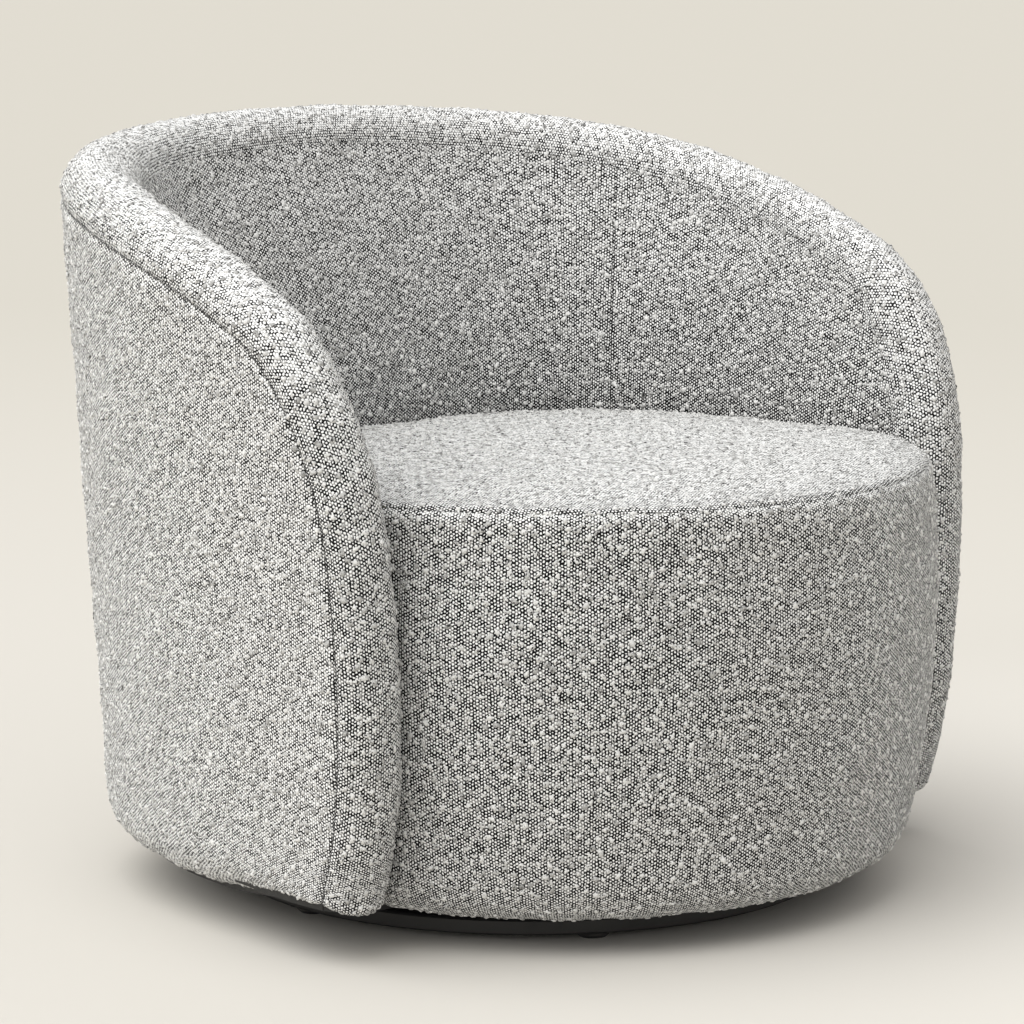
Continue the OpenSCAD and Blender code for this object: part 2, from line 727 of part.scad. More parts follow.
// straps on each side of the middle one, and heights of the back straps over the seat in strap widths
straps_beside = 2;
back_strap_rises = [-1, 0.5, 2];

// level slab of the seat ring's outline, moved in by a distance
module ring_slab(inset, at, thickness) {
    translate([0, 0, at]) {
        linear_extrude(thickness)
            polygon([for (i = [-side_points:side_points]) let (p = i / side_points * ring_arm_angle,
                v = plan_pt(p, ring_z, strap_out + inset, 0)) [v[0], v[1]]]);
        drum_slab(drum_radius(ring_z) - panel_in - bend_gap - inset, thickness);
    }
}

module seat_ring() {
    color("#cdb185")
        difference() {
            ring_slab(0, ring_z, ring_t);
            ring_slab(ring_w, ring_z - cut, ring_t + 2 * cut);
            seat_ring_screw_set(clear);
        }
}

module seat_ring_screws() {
    color("#b9babc")
        seat_ring_screw_set(0);
}

module straps(z, turn) {
    intersection() {
        ring_slab(ring_w - strap_lap, z, strap_t);
        translate([0, drum_y, z + strap_t / 2])
            rotate(turn)
                for (i = [-straps_beside:straps_beside])
                    translate([i * strap_pitch, 0])
                        cube([strap_w, 2 * overall_d, 2 * strap_t], center = true);
    }
}

module deep_straps() {
    color("#3c3a38")
        straps(ring_top, 0);
}

module cross_straps() {
    color("#3c3a38")
        straps(ring_top + strap_t, 90);
}

// webbing round the inside of the back posts
module back_straps() {
    reach = last(back_post_angles);
    color("#3c3a38")
        for (rise = back_strap_rises) let (z = seat_h + rise * strap_w)
            swept([for (e = reversed(wall_cols)) if (abs(e[0]) <= reach)
                [for (c = [[0, strap_t], [1, strap_t], [1, 0], [0, 0]])
                    plan_pt(e[0], z + c[0] * strap_w, strap_out + c[1], z + c[0] * strap_w)]]);
}

module outer_panel() {
    color("#b58d5c")
        swept(wall_loops(panel_out, panel_in, plinth_top + clear, panel_steps, 0));
}

module outer_padding() {
    color("#efece4")
        swept(wall_loops(padding_out, padding_in, plinth_top + clear, panel_steps, 0));
}

// the drum's front runs from one arm front to the other
front_columns = 26;
function drum_start(z) = z < plinth_top
    ? drum_plinth_angle
    : mix(drum_foot_angle, drum_front_angle,
        clamp01((z - foot_gap - foot_round) / (seat_h - foot_gap - foot_round)));
function drum_front_at(i, z) = mix(drum_start(z), 360 - drum_start(z), i / front_columns);
function front_loops(d0, d1, heights) = [for (i = [0:front_columns])
    concat([for (z = reversed(heights)) drum_pt(drum_front_at(i, z), z, d0)],
        [for (z = heights) drum_pt(drum_front_at(i, z), z, d1)])];

module front_panel() {
    color("#b58d5c")
        swept(front_loops(panel_out, panel_in,
            [plinth_top + clear, (plinth_top + ring_z) / 2, ring_top - clear]));
}

module front_padding() {
    color("#efece4")
        swept(front_loops(padding_out, padding_in,
            [plinth_top + clear, (plinth_top + ring_z) / 2, seat_h - seat_round - clear]));
}

// soft edge and face of the seat at plan angle p: u runs from the top of the soft edge to its lower end
function is_front(p) = abs(p) >= drum_front_angle && abs(p) <= 360 - drum_front_angle;
function by_front(p) = abs(p) >= drum_foot_angle && abs(p) <= 360 - drum_foot_angle;
function seat_r(p, z, d) = is_front(p)
    ? drum_polar(p, drum_radius(z) - d)
    : min(drum_polar(p, drum_radius(z) - d),
        plan_r_at(p, z, inner_depth(p, z) + clear + d));
function plan_r_at(p, z, inset) = let (k = narrow(z))
    plan_r(p, shell_w / 2 * k - inset, back_reach * k - inset, arm_reach * k - inset);
function seat_face(p, d, z) = let (q = p > 180 ? p - 360 : p, r = seat_r(q, min(z, seat_h), d))
    [r * sin(q), plan_y + r * cos(q), z];
function rim_pt(p, turn_angle, d, drop) = let (q = seat_round - d)
    seat_face(p, seat_round - q * cos(turn_angle), seat_h - seat_round + q * sin(turn_angle) - drop);
function crown_pt(p, share, d) = let (v = rim_pt(p, 90, 0, 0))
    [v[0] * share, drum_y + (v[1] - drum_y) * share, seat_h - d + seat_crown * (1 - share * share)];
seat_step = 6;
crease_turn = 1;
crease_relief = 3;
// columns of the seat, with a close pair where each arm front's crease starts
crease_pair = [drum_front_angle - crease_turn, drum_front_angle];
seat_half = concat([for (p = [0:seat_step:drum_front_angle - seat_step / 2]) p], crease_pair,
    [for (i = [1:front_columns / 2]) drum_front_at(i, seat_h)]);
seat_angles = concat(seat_half, [for (i = [len(seat_half) - 2:-1:1]) 360 - seat_half[i]]);
crown_shares = [0.3, 0.6, 0.85];
foam_rim_turns = [0, 35, 65, 90];

// depth of the foam under the cover, with more room in the crease beside each arm front
function foam_depth(p) = abs((p > 180 ? 360 - p : p) - drum_front_angle) <= crease_turn
    ? padding_out + crease_relief : padding_out;

module seat_foam() {
    color("#e8d9a8")
        stacked(concat(
            [for (z = [inside_z, seat_h - seat_round - clear])
                [for (p = seat_angles)
                    seat_face(p, by_front(p) ? padding_in + 2 * clear : foam_depth(p), z)]],
            [for (a = foam_rim_turns) [for (p = seat_angles) rim_pt(p, a, foam_depth(p), 0)]],
            [for (s = reversed(crown_shares)) [for (p = seat_angles) crown_pt(p, s, padding_out)]]));
}

// lower end of the seat cover: the seam at the front, a tucked skirt at the back and sides
function cover_rim(p, u, d) = is_front(p)
    ? rim_pt(p, mix(90, seam_turn + seam_gap_turn, u), d, 0)
    : rim_pt(p, 90 * max(0, 1 - u / tuck_share), d, seat_tuck * max(0, u - tuck_share) / (1 - tuck_share));
seam_gap_turn = clear / seat_round * 90 / PI;
rim_steps = [0, 0.25, 0.5, 0.75, 1];

module seat_top_cover() {
    color("#cfccc4")
        stacked(concat(
            [for (s = crown_shares) [for (p = seat_angles) crown_pt(p, s, cover_t)]],
            [for (u = rim_steps) [for (p = seat_angles) cover_rim(p, u, cover_t)]],
            [for (u = reversed(rim_steps)) [for (p = seat_angles) cover_rim(p, u, u == 1 ? seam_dip : 0)]],
            [for (s = reversed(crown_shares)) [for (p = seat_angles) crown_pt(p, s, 0)]]));
}

front_height_shares = [0, 0.22, 0.45, 0.7, 1.05, 2.5, 4, 6];
front_heights = [for (m = front_height_shares) foot_z + m * foot_round];
front_rim_turns = [0, 24, seam_turn - seam_gap_turn];
module front_cover() {
    heights = concat(front_heights, [seat_h - seat_round - seat_round]);
    color("#a5a29b")
        swept([for (i = [0:front_columns]) let (p = drum_front_at(i, seat_h))
            concat([for (a = reversed(front_rim_turns))
                    rim_pt(p, a, a == last(front_rim_turns) ? seam_dip : 0, 0)],
                [for (z = reversed(heights)) drum_pt(drum_front_at(i, z), z, 0)],
                [for (z = heights) drum_pt(drum_front_at(i, z), z, cover_t)],
                [for (a = front_rim_turns) rim_pt(p, a, cover_t, 0)])]);
}

// angles over the rolled edge at which its loops have points
roll_gap_turn = clear / roll_r * 180 / PI;
roll_turns = [roll_gap_turn, 30, 60, 90, 120, 150, 180 - roll_gap_turn];
foam_turns = concat([3 * roll_gap_turn], [for (k = [1:len(roll_turns) - 2]) roll_turns[k]],
    [180 - 3 * roll_gap_turn]);
function roll_dip(k) = k == 0 || k == len(roll_turns) - 1 ? seam_dip : 0;

module band_cover() {
    color("#b7b4ad")
        swept([for (e = full_cols)
            concat([for (k = [0:len(roll_turns) - 1]) roll_pt(e, roll_turns[k], roll_r - roll_dip(k))],
                [for (a = reversed(roll_turns)) roll_pt(e, a, roll_r - cover_t)])]);
}

module roll_foam() {
    w = roll_r - frame_out + clear;
    h = rail_half_h + clear;
    channel = [[-w, 2 * clear], [-w, h / 2], [-w, h], [0, h], [w, h], [w, h / 2], [w, 2 * clear]];
    color("#efece4")
        swept([for (e = full_cols) if (e[2] > 1)
            concat([for (a = foam_turns) roll_pt(e, a, roll_r - padding_out)],
                [for (c = channel) rail_pt(e, c[0], c[1], e[3])])]);
}

module inside_foam(cols) {
    color("#e8d9a8")
        swept(inner_loops(cols, padding_out, true, 0));
}

module inside_cover(cols) {
    color("#8e8b85")
        swept(inner_loops(cols, 0, false, seam_dip));
}

module inside_back_foam() {
    inside_foam(back_cols);
}

module inside_arm_foam_left() {
    inside_foam(left_arm_cols);
}

module inside_arm_foam_right() {
    inside_foam(right_arm_cols);
}

module inside_back_cover() {
    inside_cover(back_cols);
}

module inside_arm_cover_left() {
    inside_cover(left_arm_cols);
}

module inside_arm_cover_right() {
    inside_cover(right_arm_cols);
}

module outside_cover() {
    color("#bdbab3")
        swept(wall_loops(0, cover_in, foot_z, [for (k = concat(foot_steps, upper_steps)) if (k > 0) k],
            seam_dip));
}

glides();
glide_screws();
base_disc();
lower_swivel_plate();
lower_plate_screws();
pivot_rivet();
ball_cage();
bearing_balls();
upper_swivel_plate();
upper_plate_screws();
bottom_board();
dust_cover();
plinth_ring();
plinth_screws();
back_posts();
arm_front_posts();
top_rail();
front_posts();
seat_cleats();
seat_ring();
seat_ring_screws();
deep_straps();
cross_straps();
back_straps();
outer_panel();
front_panel();
outer_padding();
front_padding();
roll_foam();
inside_back_foam();
inside_arm_foam_left();
inside_arm_foam_right();
seat_foam();
outside_cover();
band_cover();
inside_back_cover();
inside_arm_cover_left();
inside_arm_cover_right();
front_cover();
seat_top_cover();
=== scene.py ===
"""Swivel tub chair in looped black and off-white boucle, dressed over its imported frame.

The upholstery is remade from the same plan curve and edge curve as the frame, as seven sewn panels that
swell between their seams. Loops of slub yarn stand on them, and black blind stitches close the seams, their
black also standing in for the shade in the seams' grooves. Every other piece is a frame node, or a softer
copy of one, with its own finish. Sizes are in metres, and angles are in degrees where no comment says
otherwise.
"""

import logging
import math
from dataclasses import dataclass, field
from enum import Enum
from typing import Any, Callable, Optional, Sequence

import bmesh
import bpy
import numpy as np
from bpy.types import Material, Mesh, Node, NodeSocket, NodeTree, Object
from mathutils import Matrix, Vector


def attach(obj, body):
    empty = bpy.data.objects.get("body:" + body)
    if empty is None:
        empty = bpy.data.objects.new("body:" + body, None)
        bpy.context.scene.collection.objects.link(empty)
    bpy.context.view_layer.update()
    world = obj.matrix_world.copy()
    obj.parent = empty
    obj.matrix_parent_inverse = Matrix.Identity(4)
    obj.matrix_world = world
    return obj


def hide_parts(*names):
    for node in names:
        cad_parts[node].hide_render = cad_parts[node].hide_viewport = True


LOG = logging.getLogger("tub_chair")
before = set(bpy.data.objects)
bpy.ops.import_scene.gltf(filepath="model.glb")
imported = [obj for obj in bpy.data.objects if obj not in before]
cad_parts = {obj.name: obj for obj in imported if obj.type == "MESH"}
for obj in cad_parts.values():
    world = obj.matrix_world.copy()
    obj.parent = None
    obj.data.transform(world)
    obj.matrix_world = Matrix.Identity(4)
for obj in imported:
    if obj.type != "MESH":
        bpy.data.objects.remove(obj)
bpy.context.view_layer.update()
MM = 0.001
TUB = "tub"
ON_EDGE = 1e-6
SOFT = {"interpolation_type": "SMOOTHSTEP"}
FOOT_ROWS = np.array([0, 1.5, 4, 7.5, 12, 17.5, 24, 31, 39]) * MM


class Slot(Enum):
    """Names of material slots for the soft pieces and boards."""

    BOUCLE = "boucle"
    WADDING = "wadding"
    FOAM = "seat_foam"
    PLYWOOD = "plywood"
    DUST_CLOTH = "dust_cloth"
    WEBBING = "webbing"


def linear(hex_colour: str) -> tuple[float, float, float, float]:
    """Turns an sRGB hex colour into Blender's linear one.

    Args:
        hex_colour: colour such as "#d8d6d0".

    Returns:
        Linear red, green, blue and full alpha.
    """
    parts = [int(hex_colour[i : i + 2], 16) / 255 for i in (1, 3, 5)]
    red, green, blue = (p / 12.92 if p <= 0.04045 else ((p + 0.055) / 1.055) ** 2.4 for p in parts)
    return red, green, blue, 1.0


def add(tree: NodeTree, kind: str, inputs: Optional[dict] = None, **settings: Any) -> Node:
    """Adds one node to a tree with its settings, values and links.

    Args:
        tree: tree that gets the node.
        kind: Blender's name for the type of node, for a shader node without ShaderNode.
        inputs: for each input, by name or number, a value, hex colour, socket, or node for its first output.
        settings: properties of the node, set before its inputs.

    Returns:
        The new node.
    """
    node = tree.nodes.new(kind if "Node" in kind else "ShaderNode" + kind)
    for name, value in settings.items():
        setattr(node, name, value)
    for key, value in (inputs or {}).items():
        if isinstance(value, Node):
            value = value.outputs[0]
        if isinstance(value, NodeSocket):
            tree.links.new(value, node.inputs[key])
        else:
            coloured = isinstance(value, str) and value.startswith("#")
            node.inputs[key].default_value = linear(value) if coloured else value
    return node


def placed(name: str, data: Any) -> Object:
    """Puts a new object into the scene.

    Args:
        name: its name.
        data: its mesh, lamp or camera.

    Returns:
        The object, at the origin.
    """
    obj = bpy.data.objects.new(name, data)
    bpy.context.scene.collection.objects.link(obj)
    return obj


def on_tub(obj: Object, slot: Optional[Slot] = None, node: str = "", fill: float = 0) -> None:
    """Lets a finished piece ride on the tub, and reports it.

    Args:
        obj: the piece.
        slot: not used.
        node: the frame node that it stands for, if any.
        fill: not used.
    """
    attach(obj, TUB)
    if node:
        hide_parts(node)
    LOG.info("%s: %d faces", obj.name, len(obj.data.polygons))


def smooth(x: np.ndarray) -> np.ndarray:
    """Smooth step from 0 to 1 of each value."""
    t = np.clip(x, 0.0, 1.0)
    return t * t * (3 - 2 * t)


def mix(a: Any, b: Any, t: Any) -> Any:
    """The value a share t of the way from a to b."""
    return a + (b - a) * t


def unit(vectors: np.ndarray) -> np.ndarray:
    """Vectors of length one in the same directions."""
    return vectors / np.linalg.norm(vectors, axis=-1, keepdims=True)


def spans(points: np.ndarray, axis: int = 0) -> np.ndarray:
    """Lengths along the rows or columns of a grid of points, from its first one."""
    steps = np.linalg.norm(np.diff(points, axis=axis), axis=-1)
    return np.concatenate([0 * np.take(steps, [0], axis=axis), np.cumsum(steps, axis=axis)], axis=axis)


def graded(length: float, step: float, first: bool = True) -> np.ndarray:
    """Places along a length, close together where a seam pulls the cloth in.

    Args:
        length: the whole length, with a seam at its end.
        step: usual distance between places.
        first: whether its start is a seam too.

    Returns:
        Rising places from 0 to the length.
    """
    close = np.array([0.0, 2.2, 5.0, 9.0, 14.0]) * MM
    start = close if first else close[:1]
    end = length - close[::-1]
    count = max(1, round((end[0] - start[-1]) / step))
    return np.concatenate([start, np.linspace(start[-1], end[0], count + 1)[1:-1], end])


@dataclass(frozen=True)
class ChairShape:
    """The plan curve and the edge curve that every layer of the chair follows.

    In its methods p is a plan angle, 0 at the back and positive towards +X, z is a height, and d is a depth
    under the face of the cloth.
    """

    shell_w: float = 0.860
    overall_d: float = 0.801
    overall_h: float = 0.722
    foot_gap: float = 0.035
    foot_round: float = 0.045
    arm_foot_round: float = 0.012
    foot_turn: float = 14
    foot_blend: float = 22
    back_reach: float = 0.469
    arm_reach: float = 0.360
    shell_square: float = 2.82
    taper_share: float = 0.082
    wall_t: float = 0.074
    arm_angle: float = 106.4
    back_swell: float = 0.084
    arm_swell: float = 0.020
    swell_fade: float = 1.6
    swell_start: float = 0.5
    seam_angle: float = 48
    drum_r: float = 0.354
    drum_taper_share: float = 0.074
    drum_front_angle: float = 106
    drum_foot_angle: float = 101.7
    drum_plinth_angle: float = 102.5
    drum_swell: float = 0.012
    drum_sag: float = 0.006
    plinth_top: float = 0.066
    seat_h: float = 0.414
    seat_crown: float = 0.012
    seat_round: float = 0.018
    seat_tuck: float = 0.024
    tuck_share: float = 0.7
    inside_z: float = 0.3183
    crease_angle: float = 94.4
    clear: float = 0.0003
    foam_back: float = 0.0596
    foot_lift: float = 0.016
    lift_angle: float = 76
    lift_blend: float = 24
    lift_height: float = 0.075
    foot_shares: tuple = (0.962, 0.972)
    edge_shares: tuple = (
        (0.993, 0.219), (1, 0.438), (0.977, 0.628), (0.936, 0.73), (0.893, 0.787), (0.799, 0.842),
        (0.658, 0.895), (0.451, 0.952), (0.235, 0.985), (0, 1), (-0.235, 0.985),
    )
    front_end: int = 5
    tables: dict = field(default_factory=dict, compare=False)

    def __post_init__(self) -> None:
        """Works out the edge curve's points, slopes and look-up tables."""
        feet = [(self.foot_shares[0], self.foot_z), (self.foot_shares[1], self.plinth_top + self.clear)]
        above = [(share, height * (self.overall_h - self.roll_r)) for share, height in self.edge_shares]
        points = np.array(feet + above) * (self.arm_angle, 1)
        steps = np.diff(points, axis=0)
        lengths = np.hypot(steps[:, 0] * math.radians(self.shell_w / 2), steps[:, 1])[:, None]
        runs = steps / lengths
        before, after = lengths[:-1], lengths[1:]
        slopes = np.concatenate([runs[:1], (runs[1:] * before + runs[:-1] * after) / (before + after)])
        self.tables.update(points=points, lengths=lengths, slopes=slopes)
        s = np.linspace(0, len(points) - 2, 1101)
        angle, height = self.edge(s)
        run = spans(self.plan(angle, height, self.roll_r, height))
        self.tables.update(s=s, angle=angle, height=height, run=run)

    @property
    def roll_r(self) -> float:
        """Radius of the rolled edge."""
        return self.wall_t / 2

    @property
    def plan_y(self) -> float:
        """Depth of the shell's plan centre."""
        return self.overall_d / 2 - self.back_reach

    @property
    def drum_y(self) -> float:
        """Depth of the drum's centre."""
        return self.drum_r - self.overall_d / 2

    @property
    def foot_z(self) -> float:
        """Height of the cloth's edge where it turns under."""
        return self.foot_gap + self.foot_round * (1 - math.cos(math.radians(self.foot_turn)))

    @property
    def front_top(self) -> np.ndarray:
        """Plan angle and height of the top of an arm's front."""
        return self.tables["points"][self.front_end]

    @property
    def whole(self) -> float:
        """Length of the rolled edge from one arm's foot over the back to the other's."""
        return 2 * self.tables["run"][-1]

    @property
    def front_run(self) -> float:
        """Length of the rolled edge from an arm's foot to the top of its front."""
        return float(np.interp(self.front_end, self.tables["s"], self.tables["run"]))

    def edge(self, s: np.ndarray) -> tuple[np.ndarray, np.ndarray]:
        """Plan angle and height of the middle of the rolled edge.

        Args:
            s: place on the curve, 0 at an arm's foot and 11 at the middle of the back.

        Returns:
            Angles and heights.
        """
        points, slopes = self.tables["points"], self.tables["slopes"]
        k = np.minimum(len(points) - 3, np.floor(s).astype(int))
        u = (s - k)[..., None]
        h = self.tables["lengths"][k]
        p = (
            points[k] * (1 + 2 * u) * (1 - u) ** 2
            + slopes[k] * h * u * (1 - u) ** 2
            + points[k + 1] * u * u * (3 - 2 * u)
            + slopes[k + 1] * h * u * u * (u - 1)
        )
        return p[..., 0], p[..., 1]

    def on_top(self, angle: np.ndarray, name: str, first: int) -> np.ndarray:
        """Looks a table up over the arms and back.

        Args:
            angle: plan angles.
            name: name of the table.
            first: number of the edge's point from which it is read.

        Returns:
            Values at the angles.
        """
        kept = self.tables["s"] >= first
        return np.interp(np.abs(angle), self.tables["angle"][kept][::-1], self.tables[name][kept][::-1])

    def edge_top(self, angle: np.ndarray) -> np.ndarray:
        """Height of the rolled edge's middle over the arms and back."""
        return self.on_top(angle, "height", self.front_end - 1)

    def front_angle(self, z: np.ndarray) -> np.ndarray:
        """Plan angle of an arm front's edge at a height."""
        on_front = self.tables["s"] <= self.front_end
        return np.interp(z, self.tables["height"][on_front], self.tables["angle"][on_front])

    def narrow(self, z: np.ndarray) -> np.ndarray:
        """Share of its full plan that the shell has at a height."""
        top = self.overall_h - self.roll_r
        return 1 - self.taper_share * (top - np.minimum(z, top)) / (top - self.foot_gap)

    def plan_r(self, p: np.ndarray, z: np.ndarray, inset: np.ndarray) -> np.ndarray:
        """Distance from the plan centre to a layer.

        Args:
            p: plan angle.
            z: height, which sets the taper.
            inset: how far inside the outer face the layer is.

        Returns:
            Distances.
        """
        s, c = np.sin(np.radians(p)), np.cos(np.radians(p))
        k = self.narrow(z)
        across = self.shell_w / 2 * k - inset
        deep = np.where(c >= 0, self.back_reach, self.arm_reach) * k - inset
        n = self.shell_square
        return ((np.abs(s) / across) ** n + (np.abs(c) / deep) ** n) ** (-1 / n)

    def from_centre(self, p: np.ndarray, r: np.ndarray, z: np.ndarray) -> np.ndarray:
        """Points at plan angle p and distance r from the plan centre."""
        p, r, z = np.broadcast_arrays(p, r, z)
        return np.stack([r * np.sin(np.radians(p)), self.plan_y + r * np.cos(np.radians(p)), z], axis=-1)

    def plan(self, p: np.ndarray, z: np.ndarray, inset: np.ndarray, at: np.ndarray) -> np.ndarray:
        """Points of a layer, with the taper of height z, drawn at height at."""
        return self.from_centre(p, self.plan_r(p, z, inset), at)

    def turned_foot(self, z: np.ndarray, q: np.ndarray, d: np.ndarray) -> tuple[np.ndarray, np.ndarray]:
        """Inset and height of a wall's turned-under foot.

        Args:
            z: height on the outer face.
            q: corner radius of the foot.
            d: depth under the outer face.

        Returns:
            Inset and height.
        """
        low = z < self.foot_gap + q
        turn = np.where(low, np.arccos(np.clip(1 - np.maximum(0, z - self.foot_gap) / q, -1, 1)), math.pi / 2)
        return q - (q - d) * np.sin(turn), np.where(low, self.foot_gap + q - (q - d) * np.cos(turn), z)

    def outer(self, p: np.ndarray, z: np.ndarray, d: np.ndarray) -> np.ndarray:
        """Points of the shell at depth d under its outer face."""
        from_foot = smooth((self.tables["points"][0][0] - np.abs(p)) / self.foot_blend)
        return self.plan(p, z, *self.turned_foot(z, mix(self.arm_foot_round, self.foot_round, from_foot), d))

    def swell(self, p: np.ndarray) -> np.ndarray:
        """How far the inner wall swells inwards."""
        more = (self.back_swell - self.arm_swell) * np.maximum(0, np.cos(np.radians(p))) ** self.swell_fade
        return smooth((self.arm_angle - np.abs(p)) / self.foot_blend) * (self.arm_swell + more)

    def lean(self, p: np.ndarray) -> np.ndarray:
        """Angle in radians at which the inner wall leaves the rolled edge."""
        return np.arctan(1.5 * self.swell_start * self.swell(p) / (self.edge_top(p) - self.seat_h))

    def inner_depth(self, p: np.ndarray, z: np.ndarray) -> np.ndarray:
        """Depth of the inner face under the outer one, with its swell into the lumbar.

        Args:
            p: plan angle.
            z: height.

        Returns:
            Depths.
        """
        top = self.edge_top(p)
        t = np.clip((top - z) / (top - self.seat_h), 0, 1)
        rise = mix(smooth(t), 1.5 * t - 0.5 * t**3, self.swell_start)
        return self.wall_t + self.roll_r * (1 / np.cos(self.lean(p)) - 1) + self.swell(p) * rise

    def inner(self, p: np.ndarray, z: np.ndarray, d: np.ndarray) -> np.ndarray:
        """Points of the shell at depth d behind its inner face."""
        return self.plan(p, z, self.inner_depth(p, z) - d, z)

    def wall_angle(self, q: np.ndarray, z: np.ndarray) -> np.ndarray:
        """Plan angle of a wall column at a height, which bends along the arm front's edge at the ends."""
        bend = self.front_angle(np.minimum(z, self.front_top[1])) - self.front_top[0]
        return q * self.front_top[0] + q**4 * np.sign(q) * bend

    def drum_radius(self, z: np.ndarray) -> np.ndarray:
        """Radius of the drum at a height."""
        fall = np.maximum(0, self.seat_h - z) / (self.seat_h - self.foot_gap)
        return self.drum_r * (1 - self.drum_taper_share * fall)

    def drum_polar(self, p: np.ndarray, r: np.ndarray) -> np.ndarray:
        """Distance from the plan centre to a circle of radius r about the drum's centre."""
        c = self.drum_y - self.plan_y
        return c * np.cos(np.radians(p)) + np.sqrt(r * r - (c * np.sin(np.radians(p))) ** 2)

    def drum(
        self, p: np.ndarray, z: np.ndarray, d: np.ndarray, puffed: np.ndarray, full: float
    ) -> np.ndarray:
        """Points of the drum's front.

        Args:
            p: plan angle.
            z: height on the outer face.
            d: depth under it.
            puffed: share of its stuffing's swell.
            full: share of its foot's sag.

        Returns:
            Points, the swell fullest at half height and the foot hanging a little.
        """
        inset, rise = self.turned_foot(z, self.foot_round, d)
        up = np.clip((z - self.foot_gap) / (self.seat_h - self.foot_gap), 0, 1)
        swell = self.drum_swell * puffed * smooth(up / 0.35) * smooth((1 - up) / 0.4)
        sag = self.drum_sag * full * (1 - smooth(up / 0.2))
        return self.from_centre(p, self.drum_polar(p, self.drum_radius(z) - inset + swell + sag), rise - sag)

    def drum_start(self, z: np.ndarray) -> np.ndarray:
        """Plan angle at which the drum's front leaves the crease beside an arm.

        Args:
            z: height.

        Returns:
            Angles, drawn in below the top of the plinth.
        """
        foot = self.foot_gap + self.foot_round
        share = np.clip((z - foot) / (self.seat_h - foot), 0, 1)
        above = mix(self.drum_foot_angle, self.drum_front_angle, share)
        return mix(self.drum_plinth_angle, above, smooth((z - self.plinth_top + 8 * MM) / (10 * MM)))

    def seat_edge(self, p: np.ndarray, turn: np.ndarray, d: np.ndarray, drop: np.ndarray) -> np.ndarray:
        """Points of the seat's soft edge.

        Args:
            p: plan angle, up to 360.
            turn: turn round the edge, 0 on the side and 90 on the top.
            d: depth under the cloth's face.
            drop: how far the point hangs below that, for the tucked skirt.

        Returns:
            Points.
        """
        q = np.where(p > 180, p - 360, p)
        inset = self.seat_round - (self.seat_round - d) * np.cos(np.radians(turn))
        z = self.seat_h - self.seat_round + (self.seat_round - d) * np.sin(np.radians(turn)) - drop
        level = np.minimum(z, self.seat_h)
        by_drum = self.drum_polar(q, self.drum_radius(level) - inset)
        by_wall = self.plan_r(q, level, self.inner_depth(q, level) + self.clear + inset)
        r = np.where(np.abs(q) >= self.drum_front_angle, by_drum, np.minimum(by_drum, by_wall))
        return self.from_centre(q, r, z)

    def lifted(self, points: np.ndarray) -> np.ndarray:
        """Draws up the foot of each arm front, as its cloth is pulled tight over the corner.

        Args:
            points: points of the shell.

        Returns:
            The points, lifted where they are low and outside the drum.
        """
        x, y, z = np.moveaxis(points, -1, 0)
        angle = np.abs(np.degrees(np.arctan2(x, y - self.plan_y)))
        off_drum = np.hypot(x, y - self.drum_y) - self.drum_radius(z)
        share = smooth((angle - self.lift_angle) / self.lift_blend) * smooth(off_drum / (30 * MM))
        share = share * (1 - smooth((z - self.foot_gap) / self.lift_height))
        return np.stack([x, y, z + self.foot_lift * share], axis=-1)

    def roll_frames(self, runs: np.ndarray) -> dict[str, np.ndarray]:
        """Middle, half width outwards and way over the rolled edge at lengths along the whole edge.

        Args:
            runs: lengths from the right arm's foot, over the back, to the left arm's foot.

        Returns:
            Arrays named angle, height, middle, out and over, one row for each length.
        """
        half = self.whole / 2
        nearest = np.where(runs <= half, runs, self.whole - runs)
        place = np.interp(nearest, self.tables["run"], self.tables["s"])
        angle, height = self.edge(place)
        angle = angle * np.where(runs <= half, 1.0, -1.0)
        middle = self.plan(angle, height, self.roll_r, height)
        out = (self.plan(angle, height, 0, height) - self.plan(angle, height, self.wall_t, height)) / 2
        level = self.plan(angle + 1, height, self.roll_r, 0) - self.plan(angle - 1, height, self.roll_r, 0)
        lower = height - self.foot_round
        up = middle - self.plan(angle, lower, self.roll_r, lower)
        over = unit(np.cross(np.cross(up, level), np.gradient(middle, axis=0)))
        return {"angle": angle, "height": height, "middle": middle, "out": out, "over": over}


@dataclass
class Seam:
    """A seam beside a panel: how far each point is from it, how far along it, and how hard it pulls."""

    far: np.ndarray
    run: np.ndarray
    pull: float

    def doubled(self, double: Callable[[np.ndarray], np.ndarray]) -> "Seam":
        """The same seam on a grid twice as fine."""
        return Seam(double(self.far), double(self.run), self.pull)


